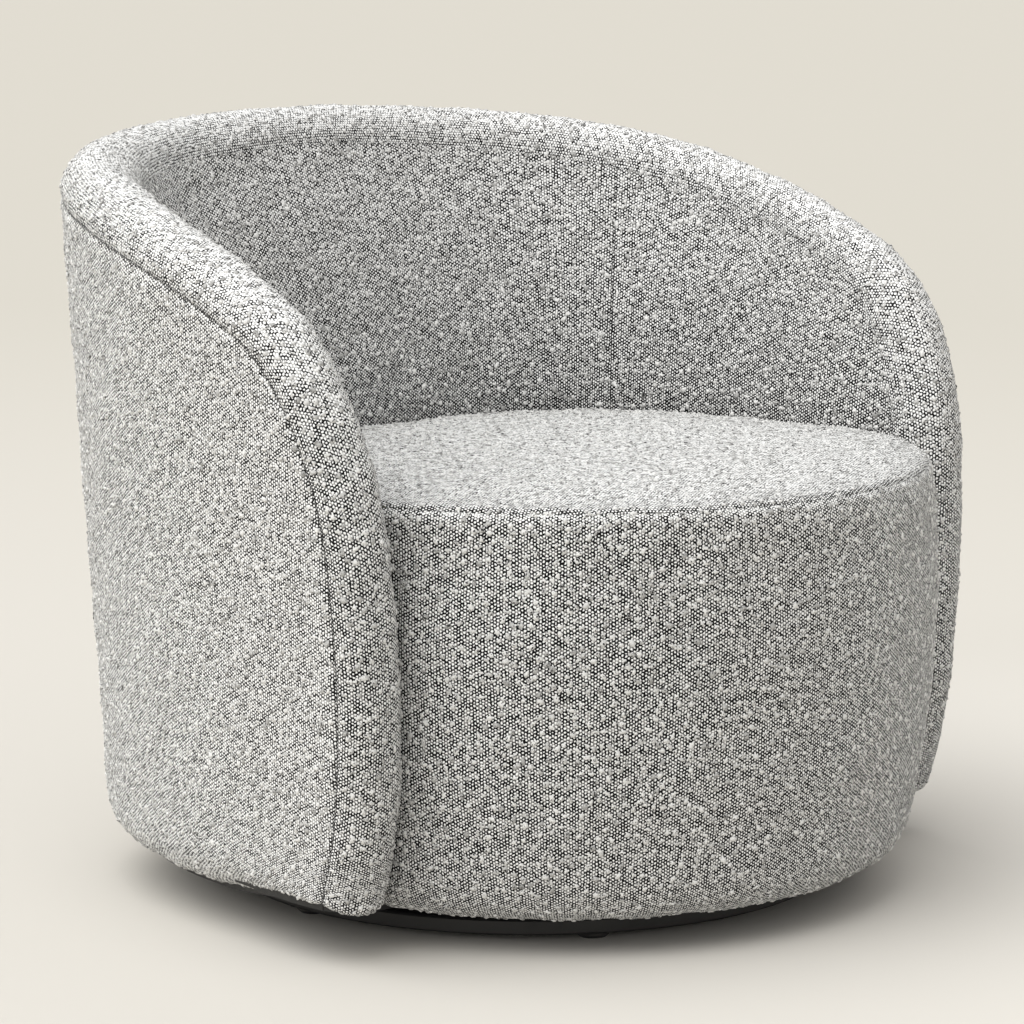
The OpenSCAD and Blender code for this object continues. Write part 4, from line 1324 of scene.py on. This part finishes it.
@dataclass(frozen=True)
class Foam(Finish):
    """Upholstery foam: open pores 0.7 mm wide over a matt cream body."""

    name: str = "polyurethane_foam_cream"

    def look(self, tree: NodeTree) -> dict:
        """Opens the pores and stains the body.

        Args:
            tree: the material's tree.

        Returns:
            The shader's values.
        """
        where = add(tree, "TexCoord").outputs["Object"]
        pores = add(tree, "TexVoronoi", {"Vector": where, "Scale": 1400.0})
        depth = add(tree, "MapRange", {0: pores, 1: 0.1, 2: 0.5}, **SOFT)
        stain = add(tree, "TexNoise", {"Vector": where, "Scale": 6.0, "Detail": 2.0, "Roughness": 0.6})
        body = add(tree, "Mix", {0: stain, 6: "#e6d9b0", 7: "#f0e6c6"}, data_type="RGBA")
        # painted shade: the pores are darker, as shade in their hollows
        colour = add(tree, "Mix", {0: depth, 6: "#c9b98a", 7: body.outputs[2]}, data_type="RGBA")
        bump = add(tree, "Bump", {"Height": depth, "Strength": 0.5, "Distance": 0.0004})
        return {"Base Color": colour.outputs[2], "Roughness": 0.95, "Sheen Weight": 0.2, "Normal": bump}


@dataclass(frozen=True)
class Wadding(Finish):
    """Polyester wadding: long pale fibres 2 mm apart, laid in soft clouds of 20 mm."""

    name: str = "polyester_wadding_white"

    def look(self, tree: NodeTree) -> dict:
        """Lays the fibres and the clouds.

        Args:
            tree: the material's tree.

        Returns:
            The shader's values.
        """
        where = add(tree, "TexCoord").outputs["Object"]
        cloud = add(tree, "TexNoise", {"Vector": where, "Scale": 45.0, "Detail": 4.0, "Roughness": 0.7})
        fibre = add(tree, "TexWave", {"Vector": where, "Scale": 160.0, "Distortion": 18.0, "Detail": 3.0})
        colour = add(tree, "Mix", {0: cloud, 6: "#dcdad4", 7: "#f7f6f2"}, data_type="RGBA")
        bump = add(tree, "Bump", {"Height": fibre.outputs["Fac"], "Strength": 0.5, "Distance": 0.0008})
        return {"Base Color": colour.outputs[2], "Roughness": 0.97, "Sheen Weight": 0.5, "Normal": bump}


@dataclass(frozen=True)
class Webbing(Finish):
    """Woven elastic webbing: dull black, with a rib every millimetre across the strap and worn threads."""

    name: str = "elastic_webbing_black"

    def look(self, tree: NodeTree) -> dict:
        """Weaves the ribs.

        Args:
            tree: the material's tree.

        Returns:
            The shader's values.
        """
        where = add(tree, "TexCoord").outputs["Object"]
        ribs = add(tree, "TexBrick", {
            "Vector": where, "Scale": 500.0, "Color1": "#2c2b2a", "Color2": "#3a3836", "Mortar": "#141414",
            "Mortar Size": 0.06, "Brick Width": 1.2, "Row Height": 0.5,
        })
        gaps = ribs.outputs["Fac"]
        bump = add(tree, "Bump", {"Height": gaps, "Strength": 0.6, "Distance": 0.0003}, invert=True)
        return {"Base Color": ribs, "Roughness": 0.8, "Sheen Weight": 0.2, "Normal": bump}


@dataclass(frozen=True)
class DustCloth(Finish):
    """Spun-bonded dust cloth: thin black felt dotted with the weld points of its fibres every 2 mm."""

    name: str = "spunbond_cloth_black"

    def look(self, tree: NodeTree) -> dict:
        """Dots the felt with its welds.

        Args:
            tree: the material's tree.

        Returns:
            The shader's values.
        """
        where = add(tree, "TexCoord").outputs["Object"]
        welds = add(tree, "TexVoronoi", {"Vector": where, "Scale": 500.0, "Randomness": 0.1})
        dots = add(tree, "MapRange", {0: welds, 1: 0.15, 2: 0.3}, **SOFT)
        fibre = add(tree, "TexNoise", {"Vector": where, "Scale": 700.0, "Detail": 4.0, "Roughness": 0.7})
        rise = add(tree, "Math", {0: dots, 1: fibre}, operation="MULTIPLY")
        felt = add(tree, "Mix", {0: fibre, 6: "#171718", 7: "#28282a"}, data_type="RGBA")
        colour = add(tree, "Mix", {0: dots, 6: "#0f0f10", 7: felt.outputs[2]}, data_type="RGBA")
        bump = add(tree, "Bump", {"Height": rise, "Strength": 0.5, "Distance": 0.0003})
        return {"Base Color": colour.outputs[2], "Roughness": 0.9, "Sheen Weight": 0.15, "Normal": bump}


@dataclass(frozen=True)
class Timber(Finish):
    """Planed hardwood: bands of grain 15 mm apart, darker late wood, pores 1 mm wide and a dry matt face."""

    name: str = "beech_planed"
    light: str = "#dcbf95"
    dark: str = "#a97f52"
    along: tuple = (14.0, 14.0, 1.6)

    def look(self, tree: NodeTree) -> dict:
        """Grows the grain, drawn out along the piece.

        Args:
            tree: the material's tree.

        Returns:
            The shader's values.
        """
        where = add(tree, "TexCoord").outputs["Object"]
        laid = add(tree, "Mapping", {"Vector": where, "Scale": self.along})
        bend = add(tree, "TexNoise", {"Vector": laid, "Scale": 1.2, "Detail": 2.0, "Roughness": 0.6})
        bent = {0: bend.outputs["Color"], 1: (0.6, 0.6, 0.6), 2: laid}
        warped = add(tree, "VectorMath", bent, operation="MULTIPLY_ADD")
        bands = {"Vector": warped, "Scale": 3.0, "Distortion": 2.5, "Detail": 3.0}
        rings = add(tree, "TexWave", bands, bands_direction="DIAGONAL").outputs["Fac"]
        pores = add(tree, "TexNoise", {"Vector": laid, "Scale": 60.0, "Detail": 3.0, "Roughness": 0.7})
        rise = add(tree, "Math", {0: pores, 1: 0.5, 2: rings}, operation="MULTIPLY_ADD")
        bump = add(tree, "Bump", {"Height": rise, "Strength": 0.3, "Distance": 0.0003})
        grain = add(tree, "Math", {0: rings, 1: 0.7}, operation="MULTIPLY")
        grain = add(tree, "Math", {0: pores, 1: 0.4, 2: grain}, operation="MULTIPLY_ADD")
        colour = add(tree, "Mix", {0: grain, 6: self.light, 7: self.dark}, data_type="RGBA")
        gloss = add(tree, "MapRange", {0: pores, 1: 0.3, 2: 0.7, 3: 0.55, 4: 0.75}, **SOFT)
        return {"Base Color": colour.outputs[2], "Roughness": gloss, "Normal": bump}


@dataclass(frozen=True)
class HardFinish(Finish):
    """A hard face: two close shades in clouds, with the gloss following them, over a fine relief.

    The cloud has its scale, detail and roughness. The gloss has the cloud's values between which it changes,
    and then its own two ends. The relief has its scale, strength and height.
    """

    light: str
    dark: str
    cloud: tuple = (30.0, 5.0, 0.75)
    gloss: tuple = (0.35, 0.7, 0.42, 0.62)
    relief: tuple = (420.0, 0.25, 0.0002)

    def look(self, tree: NodeTree) -> dict:
        """Lays the clouds and the relief.

        Args:
            tree: the material's tree.

        Returns:
            The shader's values.
        """
        where = add(tree, "TexCoord").outputs["Object"]
        size, detail, rough = self.cloud
        cloud = add(tree, "TexNoise", {"Vector": where, "Scale": size, "Detail": detail, "Roughness": rough})
        start, end, low, high = self.gloss
        gloss = add(tree, "MapRange", {0: cloud, 1: start, 2: end, 3: low, 4: high}, **SOFT)
        size, strength, height = self.relief
        relief = add(tree, "TexNoise", {"Vector": where, "Scale": size, "Detail": 2.0, "Roughness": 0.6})
        bump = add(tree, "Bump", {"Height": relief, "Strength": strength, "Distance": height})
        colour = add(tree, "Mix", {0: cloud, 6: self.dark, 7: self.light}, data_type="RGBA")
        return {"Base Color": colour.outputs[2], "Roughness": gloss, "Normal": bump}


@dataclass(frozen=True)
class BlackBoard(HardFinish):
    """Board with rolled black lacquer: low satin gleam, orange-peel 2 mm wide and dust in its tooth."""

    name: str = "board_lacquered_black"
    light: str = "#262627"
    dark: str = "#121213"


@dataclass(frozen=True)
class Steel(HardFinish):
    """Steel part: zinc bloom in patches or a polished ball, with handling marks 0.5 mm wide in its gloss."""

    cloud: tuple = (60.0, 4.0, 0.7)
    gloss: tuple = (0.3, 0.7, 0.28, 0.46)
    relief: tuple = (1800.0, 0.15, 0.0001)

    def look(self, tree: NodeTree) -> dict:
        """The same, as metal."""
        return {**super().look(tree), "Metallic": 1.0}


@dataclass(frozen=True)
class Nylon(HardFinish):
    """Moulded nylon: soft gloss, faint scuffs and a spark-eroded texture, drawn coarse at 0.7 mm to show."""

    cloud: tuple = (120.0, 5.0, 0.8)
    gloss: tuple = (0.35, 0.7, 0.4, 0.6)
    relief: tuple = (1500.0, 0.3, 0.0001)

    def look(self, tree: NodeTree) -> dict:
        """The same, with nylon's own index."""
        return {**super().look(tree), "IOR": 1.53}


@dataclass(frozen=True)
class Paper(Finish):
    """Matt seamless studio paper, hardly mottled, with painted shade darker behind the chair and painted
    light paler beside it.
    """

    name: str = "seamless_paper"
    near: str = "#ccc8c0"
    far: str = "#c0bcb2"
    beside: str = "#d8d4cc"

    def look(self, tree: NodeTree) -> dict:
        """Paints the floor darker away from its near left corner, as painted shade, and paler round the
        chair's right side, as painted light over the chair's shadow.

        Args:
            tree: the material's tree.

        Returns:
            The shader's values.
        """
        where = add(tree, "TexCoord").outputs["Object"]
        mottle = add(tree, "TexNoise", {"Vector": where, "Scale": 2.2, "Detail": 3.0, "Roughness": 0.6})
        painted_light_spreads = []
        # painted shade darkens the paper away from the near left corner; painted light pales it round the
        # chair's right side, where its shadow falls
        for middle, start, end in (((-1.8, -0.2, 0), 1.5, 7.0), ((0.45, -0.25, 0), 0.3, 1.1)):
            away = add(tree, "VectorMath", {0: where, 1: middle}, operation="DISTANCE").outputs["Value"]
            painted_light_spreads.append(add(tree, "MapRange", {0: away, 1: start, 2: end}, **SOFT))
        share = add(tree, "Math", {0: mottle, 1: 0.06, 2: painted_light_spreads[0]}, operation="MULTIPLY_ADD")
        wide = add(tree, "Mix", {0: share, 6: self.near, 7: self.far}, data_type="RGBA").outputs[2]
        colour = add(tree, "Mix", {0: painted_light_spreads[1], 6: self.beside, 7: wide}, data_type="RGBA")
        return {"Base Color": colour.outputs[2], "Roughness": 0.9, "Specular IOR Level": 0.2}


@dataclass
class Chassis:
    """Frame, swivel and base: the frame nodes that stay as they are, each with its finish."""

    beech: Finish = Timber()
    rail_beech: Finish = Timber("beech_rail", along=(1.6, 14.0, 14.0))
    skin: Finish = Timber("poplar_plywood_skin", "#e2c79c", "#b98f5e", (5.0, 5.0, 1.2))
    black_lacquer: Finish = BlackBoard()
    stain: Finish = BlackBoard("plywood_stained_black", "#1d1c1c", "#0e0e0e")
    zinc: Finish = Steel("steel_zinc_plated", "#c9ccce", "#9fa3a6")
    screw_steel: Finish = Steel(
        "steel_screw_zinc", "#d0cfc6", "#a8a69a", (200.0, 4.0, 0.7), (0.3, 0.7, 0.25, 0.40)
    )
    chrome: Finish = Steel(
        "steel_ball_polished", "#dfe2e4", "#c4c8cb", (400.0, 4.0, 0.7), (0.3, 0.7, 0.06, 0.14)
    )
    glide: Finish = Nylon("nylon_glide_black", "#222223", "#131314")
    cage: Finish = Nylon("nylon_cage_natural", "#e8e2d0", "#cfc7b2")

    def dressings(self) -> list[tuple[Finish, str]]:
        """Lists what each finish dresses.

        Returns:
            Each finish with the names of its frame nodes.
        """
        return [
            (self.glide, "glides"),
            (
                self.screw_steel,
                "glide_screws lower_plate_screws upper_plate_screws plinth_screws seat_ring_screws",
            ),
            (self.black_lacquer, "base_disc"),
            (self.zinc, "lower_swivel_plate upper_swivel_plate pivot_rivet"),
            (self.cage, "ball_cage"),
            (self.chrome, "bearing_balls"),
            (self.stain, "plinth_ring"),
            (self.beech, "back_posts arm_front_posts front_posts seat_cleats"),
            (self.rail_beech, "top_rail seat_ring"),
            (self.skin, "outer_panel front_panel"),
        ]

    def build(self) -> None:
        """Gives every node that stays its material."""
        for finish, names in self.dressings():
            material = finish.build()
            for name in names.split():
                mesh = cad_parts[name].data
                mesh.materials.clear()
                mesh.materials.append(material)
                LOG.info("%s: %s", name, finish.name)


def copied(node: str, name: str, finish: Finish, slot: Slot, shape: Optional[Callable] = None) -> Object:
    """Puts a merged copy of a frame node on the tub in its place.

    Args:
        node: the frame node.
        name: name of the new piece.
        finish: its finish.
        slot: its material slot.
        shape: function from points to points. Without one, each face is softened by subdivision.

    Returns:
        The new piece.
    """
    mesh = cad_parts[node].data.copy()
    mesh.name = name
    mesh.materials.clear()
    mesh.materials.append(finish.build())
    work = bmesh.new()
    work.from_mesh(mesh)
    bmesh.ops.remove_doubles(work, verts=work.verts, dist=0.01 * MM)
    if shape:
        places = shape(np.array([v.co for v in work.verts]))
        for vert, place in zip(work.verts, places):
            vert.co = place
    else:
        bmesh.ops.subdivide_edges(work, edges=work.edges, cuts=1, use_grid_fill=True)
    work.to_mesh(mesh)
    work.free()
    obj = placed(name, mesh)
    on_tub(obj, slot, node)
    return obj


@dataclass
class Underside:
    """The board under the frame and the dust cloth over it, drawn up with the cover at the arm fronts."""

    shape: ChairShape
    board: Finish = BlackBoard("plywood_stained_black_board", "#1d1c1c", "#0e0e0e")
    cloth: Finish = DustCloth()
    cloth_cut: tuple = (0.78, 0.68)
    planed_below: float = 0.042

    def build(self) -> None:
        """Makes both pieces."""
        copied("bottom_board", "bottom_board_stained", self.board, Slot.PLYWOOD, self.planed)
        cloth = copied("dust_cover", "dust_cloth_stapled", self.cloth, Slot.DUST_CLOTH, self.shape.lifted)

    def planed(self, points: np.ndarray) -> np.ndarray:
        """The board's points, with the underside of its arm noses planed off."""
        return np.where(points[:, 2:] < self.planed_below, self.shape.lifted(points), points)


@dataclass
class Paddings:
    """Wadding over the skins, and the foam of the roll, the inner wall and the seat."""

    shape: ChairShape
    foam: Finish = Foam()
    wadding: Finish = Wadding()

    def cuts(self) -> list[tuple[Ply, str, str, str, float]]:
        """Lists the pads.

        Returns:
            Each pad's ply, the cover over it, its name, its frame node and how tightly it is stuffed.
        """
        return [
            (WADDING, "outside_cover", "shell_wadding", "outer_padding", 0.5),
            (WADDING, "front_cover", "drum_wadding", "front_padding", 0.5),
            (FOAM, "band_cover", "roll_foam_sleeve", "roll_foam", 0.7),
            (FOAM, "inside_back_cover", "inside_back_foam_pad", "inside_back_foam", 0.8),
            (FOAM, "inside_arm_cover_right", "inside_arm_foam_pad_right", "inside_arm_foam_right", 0.8),
            (FOAM, "inside_arm_cover_left", "inside_arm_foam_pad_left", "inside_arm_foam_left", 0.8),
            (FOAM, "seat_top_cover", "seat_foam_block", "seat_foam", 0.9),
        ]

    def build(self) -> None:
        """Makes all seven pads from the same panels as the cloth, deeper and thicker."""
        dress = {FOAM: (self.foam.build(), Slot.FOAM), WADDING: (self.wadding.build(), Slot.WADDING)}
        panels = {(ply, panel.node): panel for ply in dress for panel in Upholstery(self.shape, ply).panels()}
        for ply, cover, name, node, fill in self.cuts():
            material, slot = dress[ply]
            panel = panels[ply, cover]
            panel.name = name
            mesh = panel.mesh()
            mesh.materials.append(material)
            on_tub(placed(name, mesh), slot, node, fill)


@dataclass
class Straps:
    """Elastic webbing under the seat and round the inside of the back."""

    finish: Finish = Webbing()

    def build(self) -> None:
        """Makes the three sets of straps."""
        for node in ("deep_straps", "cross_straps", "back_straps"):
            copied(node, node + "_webbing", self.finish, Slot.WEBBING)


def started(name: str, sizes: dict[str, float]) -> tuple[NodeTree, Any]:
    """Starts a Geometry Nodes tree.

    Args:
        name: its name.
        sizes: its sizes, and whole numbers such as a seed, which become named inputs.

    Returns:
        The tree, and its inputs' sockets, with the source's mesh under Mesh.
    """
    tree = bpy.data.node_groups.new(name, "GeometryNodeTree")
    tree.interface.new_socket("Mesh", in_out="INPUT", socket_type="NodeSocketGeometry")
    for label, value in sizes.items():
        kind = "NodeSocketInt" if isinstance(value, int) else "NodeSocketFloat"
        tree.interface.new_socket(label, in_out="INPUT", socket_type=kind).default_value = value
    tree.interface.new_socket("Made", in_out="OUTPUT", socket_type="NodeSocketGeometry")
    return tree, add(tree, "NodeGroupInput").outputs


def ended(tree: NodeTree, real: Node, material: Material) -> NodeTree:
    """Ends a Geometry Nodes tree.

    Args:
        tree: the tree.
        real: the node with its realised forms.
        material: their finish.

    Returns:
        The same tree, with its forms smooth and dressed.
    """
    soft = add(tree, "GeometryNodeSetShadeSmooth", {"Geometry": real})
    dressed = add(tree, "GeometryNodeSetMaterial", {"Geometry": soft, "Material": material})
    add(tree, "NodeGroupOutput", {"Made": dressed})
    return tree


def baked(source: Mesh, name: str, tree: NodeTree) -> Object:
    """Runs a Geometry Nodes tree on a mesh and keeps the result as a plain mesh.

    Args:
        source: mesh that goes into the tree.
        name: name of the new object.
        tree: the tree.

    Returns:
        The new object, at the origin.
    """
    carrier = placed("carrier", source)
    modifier = carrier.modifiers.new("made", "NODES")
    modifier.node_group = tree
    bpy.context.view_layer.update()
    evaluated = carrier.evaluated_get(bpy.context.evaluated_depsgraph_get())
    mesh = bpy.data.meshes.new_from_object(evaluated)
    mesh.name = name
    bpy.data.objects.remove(carrier)
    return placed(name, mesh)


@dataclass
class SlubLoops:
    """Geometry Nodes tree that grows slub loops on a panel, fewer where its nap is hidden."""

    spacing: float = 0.0085
    closest: float = 0.72
    crowding: float = 1.35
    width: float = 0.0030
    height: float = 0.0011
    least: tuple = (0.75, 0.5, 0.55)
    most: tuple = (1.5, 1.05, 1.2)
    uneven: float = 0.0028
    knot_scale: float = 520.0
    seed: int = 11
    spin_seed: int = 5
    tone_seed: int = 9

    def tree(self, material: Material) -> NodeTree:
        """Builds the tree.

        Args:
            material: finish of the loops.

        Returns:
            The tree, with its sizes and seed as named inputs.
        """
        sizes = {
            "Spacing": self.spacing,
            "Half Width": self.width,
            "Half Height": self.height,
            "Seed": self.seed,
        }
        tree, given = started("slub_loops", sizes)
        apart = add(tree, "Math", {0: given["Spacing"], 1: self.closest}, operation="MULTIPLY")
        square = add(tree, "Math", {0: given["Spacing"], 1: given["Spacing"]}, operation="MULTIPLY")
        density = add(tree, "Math", {0: self.crowding, 1: square}, operation="DIVIDE")
        nap = add(tree, "GeometryNodeInputNamedAttribute", {"Name": "nap"}, data_type="FLOAT")
        spread = add(tree, "GeometryNodeDistributePointsOnFaces", {
            "Mesh": given["Mesh"], "Distance Min": apart, "Density Max": density, "Density Factor": nap,
            "Seed": given["Seed"],
        }, distribute_method="POISSON")
        bead = add(tree, "GeometryNodeMeshIcoSphere", {"Radius": 1.0, "Subdivisions": 1})
        wide = given["Half Width"]
        low = add(tree, "CombineXYZ", {0: wide, 1: wide, 2: given["Half Height"]})
        ends = {0: self.least, 1: self.most, "Seed": given["Seed"]}
        size = add(tree, "FunctionNodeRandomValue", ends, data_type="FLOAT_VECTOR")
        sized = add(tree, "VectorMath", {0: size, 1: low}, operation="MULTIPLY")
        ends = {2: 0.0, 3: 2 * math.pi, "Seed": self.spin_seed}
        spin = add(tree, "FunctionNodeRandomValue", ends, data_type="FLOAT")
        spun = add(tree, "CombineXYZ", {2: spin.outputs[1]})
        turns = {0: spread.outputs["Rotation"], 1: add(tree, "FunctionNodeEulerToRotation", {0: spun})}
        turned = add(tree, "FunctionNodeRotateRotation", turns, rotation_space="LOCAL")
        loops = add(tree, "GeometryNodeInstanceOnPoints", {
            "Points": spread, "Instance": bead, "Rotation": turned, "Scale": sized,
        })
        ends = {2: 0.0, 3: 1.0, "Seed": self.tone_seed}
        tone = add(tree, "FunctionNodeRandomValue", ends, data_type="FLOAT")
        toned = add(tree, "GeometryNodeStoreNamedAttribute", {
            "Geometry": loops, "Name": "tone", "Value": tone.outputs[1],
        }, data_type="FLOAT", domain="INSTANCE")
        real = add(tree, "GeometryNodeRealizeInstances", {0: toned})
        place = add(tree, "GeometryNodeInputPosition")
        rough = add(tree, "TexNoise", {"Vector": place, "Scale": self.knot_scale, "Detail": 0.0})
        knots = {0: rough.outputs["Color"], 1: (0.5, 0.5, 0.5)}
        centred = add(tree, "VectorMath", knots, operation="SUBTRACT")
        pulled = add(tree, "VectorMath", {0: centred, "Scale": self.uneven}, operation="SCALE")
        knotted = add(tree, "GeometryNodeSetPosition", {"Geometry": real, "Offset": pulled})
        return ended(tree, knotted, material)


@dataclass
class Stitches:
    """Geometry Nodes tree that sinks short thread stitches into a seam line, whose black stands in partly for
    its shade.
    """

    pitch: float = 0.0052
    length: float = 0.0042
    radius: float = 0.0005

    def tree(self, material: Material) -> NodeTree:
        """Builds the tree.

        Args:
            material: finish of the thread.

        Returns:
            The tree, with its sizes as named inputs.
        """
        sizes = {"Pitch": self.pitch, "Stitch Length": self.length, "Thread Radius": self.radius}
        tree, given = started("seam_stitches", sizes)
        line = add(tree, "GeometryNodeMeshToCurve", {"Mesh": given["Mesh"]})
        ends = {"Curve": line, "Length": given["Pitch"]}
        points = add(tree, "GeometryNodeCurveToPoints", ends, mode="LENGTH")
        bead = add(tree, "GeometryNodeMeshIcoSphere", {"Radius": 1.0, "Subdivisions": 1})
        half = add(tree, "Math", {0: given["Stitch Length"], 1: 0.5}, operation="MULTIPLY")
        size = add(tree, "CombineXYZ", {0: given["Thread Radius"], 1: given["Thread Radius"], 2: half})
        tangent = points.outputs["Tangent"]
        along = add(tree, "FunctionNodeAlignRotationToVector", {"Vector": tangent}, axis="Z")
        stitches = add(tree, "GeometryNodeInstanceOnPoints", {
            "Points": points, "Instance": bead, "Rotation": along, "Scale": size,
        })
        return ended(tree, add(tree, "GeometryNodeRealizeInstances", {0: stitches}), material)

    def sew(self, name: str, lines: Sequence[np.ndarray], material: Material) -> Object:
        """Sews stitches along lines.

        Args:
            name: name of the piece.
            lines: rows of points, each a seam.
            material: finish of the thread.

        Returns:
            All the stitches as one plain mesh.
        """
        points, edges = [], []
        for line in lines:
            first = len(points)
            points += line.tolist()
            edges += [(first + i, first + i + 1) for i in range(len(line) - 1)]
        mesh = bpy.data.meshes.new(name + "_lines")
        mesh.from_pydata(points, edges, [])
        return baked(mesh, name, self.tree(material))


@dataclass
class Cloth:
    """All that shows of the upholstery: seven boucle panels, their slub loops and the stitches."""

    shape: ChairShape
    boucle: Finish = Boucle()
    slub: Finish = SlubYarn()
    thread: Finish = SeamThread()
    loops: SlubLoops = field(default_factory=SlubLoops)
    stitches: Stitches = field(default_factory=Stitches)
    band_lift: float = 0.0001
    drum_lift: float = -0.0004

    def build(self) -> None:
        """Makes every piece and lets it ride on the tub."""
        finish = self.boucle.build()
        tree = self.loops.tree(self.slub.build())
        panels = Upholstery(self.shape).sewn()
        for panel in panels:
            mesh = panel.mesh()
            mesh.materials.append(finish)
            on_tub(placed(panel.name, mesh), Slot.BOUCLE, panel.node, panel.fill)
            on_tub(baked(mesh, panel.name + "_slubs", tree), Slot.BOUCLE)
        on_tub(self.stitches.sew("seam_stitches", self.seam_lines(panels), self.thread.build()))

    def seam_lines(self, panels: Sequence[Panel]) -> list[np.ndarray]:
        """Where the stitches lie.

        Args:
            panels: the sewn panels.

        Returns:
            The border of each panel that a neighbour meets, a little over or under its cloth.
        """
        by_node = {panel.node: panel for panel in panels}
        back = by_node["inside_back_cover"].face
        lines = []
        for node, index, lift in (("band_cover", 0, self.band_lift), ("front_cover", -1, self.drum_lift)):
            panel = by_node[node]
            lines.append(panel.face[index] + panel.normals()[index] * lift)
        for index in (0, -1):
            lines.append(back[back[:, index, 2] > self.shape.seat_h - 10 * MM, index])
        return lines


@dataclass
class Studio:
    """Pale seamless floor, soft lamps and the photograph's camera."""

    eye: tuple = (-2.5644, -2.8465, 0.9691)
    look: tuple = (0.6572, 0.7365, -0.1601)
    lens: float = 141.5
    paper: Finish = Paper()
    reach: float = 60
    sky_hex: str = "#e6dfd1"
    sky_shown: float = 0.9
    sun_power: float = 2.15
    sun_angle: float = 75
    sun_from: tuple = (-0.55, 0.18, 1.0)
    ambient: float = 0.80
    sky_from: tuple = (-0.80, 0.12, 0.58)
    sky_range: tuple = (0.38, 1.40)

    def camera(self) -> None:
        """Stands the camera where the photograph was taken from."""
        data = bpy.data.cameras.new("photo_camera")
        data.lens = self.lens
        data.sensor_width = 36
        data.clip_end = 200
        obj = placed("photo_camera", data)
        obj.location = self.eye
        obj.rotation_euler = Vector(self.look).to_track_quat("-Z", "Y").to_euler()
        bpy.context.scene.camera = obj

    def soft_sun(self) -> None:
        """Hangs the key light: a broad, distant soft light from the upper left, a little behind the chair."""
        data = bpy.data.lights.new("key_light", "SUN")
        data.energy = self.sun_power
        data.angle = math.radians(self.sun_angle)
        data.color = linear("#fffffe")[:3]
        lamp = placed("key_light", data)
        lamp.rotation_euler = (-Vector(self.sun_from)).to_track_quat("-Z", "Y").to_euler()

    def floor(self) -> None:
        """Rolls out the paper."""
        mesh = bpy.data.meshes.new("studio_floor")
        corners = [(x * self.reach, y * self.reach, 0) for x, y in ((-1, -1), (1, -1), (1, 1), (-1, 1))]
        mesh.from_pydata(corners, [], [(0, 1, 2, 3)])
        mesh.materials.append(self.paper.build())
        placed("studio_floor", mesh)

    def sky(self) -> None:
        """Lights all round, stronger from the upper left, and shows camera and gloss a plain backdrop."""
        world = bpy.data.worlds.new("soft_sky")
        bpy.context.scene.world = world
        world.use_nodes = True
        tree = world.node_tree
        tree.nodes.clear()
        way = add(tree, "TexCoord").outputs["Generated"]
        side = add(tree, "VectorMath", {0: way, 1: self.sky_from}, operation="DOT_PRODUCT").outputs["Value"]
        low, high = (self.ambient * share for share in self.sky_range)
        strength = add(tree, "MapRange", {0: side, 1: -1.0, 2: 1.0, 3: low, 4: high})
        light = add(tree, "Background", {"Color": "#fcfcfd", "Strength": strength})
        shown = add(tree, "Background", {"Color": self.sky_hex, "Strength": self.sky_shown})
        ray = add(tree, "LightPath").outputs
        seen = add(tree, "Math", {0: ray["Is Camera Ray"], 1: ray["Is Glossy Ray"]}, operation="MAXIMUM")
        both = add(tree, "MixShader", {0: seen, 1: light, 2: shown})
        add(tree, "OutputWorld", {"Surface": both})

    def build(self) -> None:
        """Makes floor, lamps, world and camera."""
        bpy.context.scene.view_settings.view_transform = "Standard"
        self.floor()
        self.sky()
        self.soft_sun()
        self.camera()


def main() -> None:
    """Dresses the chair, class by class."""
    logging.basicConfig(level=logging.INFO, format="%(message)s")
    shape = ChairShape()
    for part in (Studio(), Chassis(), Underside(shape), Paddings(shape), Straps(), Cloth(shape)):
        part.build()


if __name__ == "__main__":
    main()
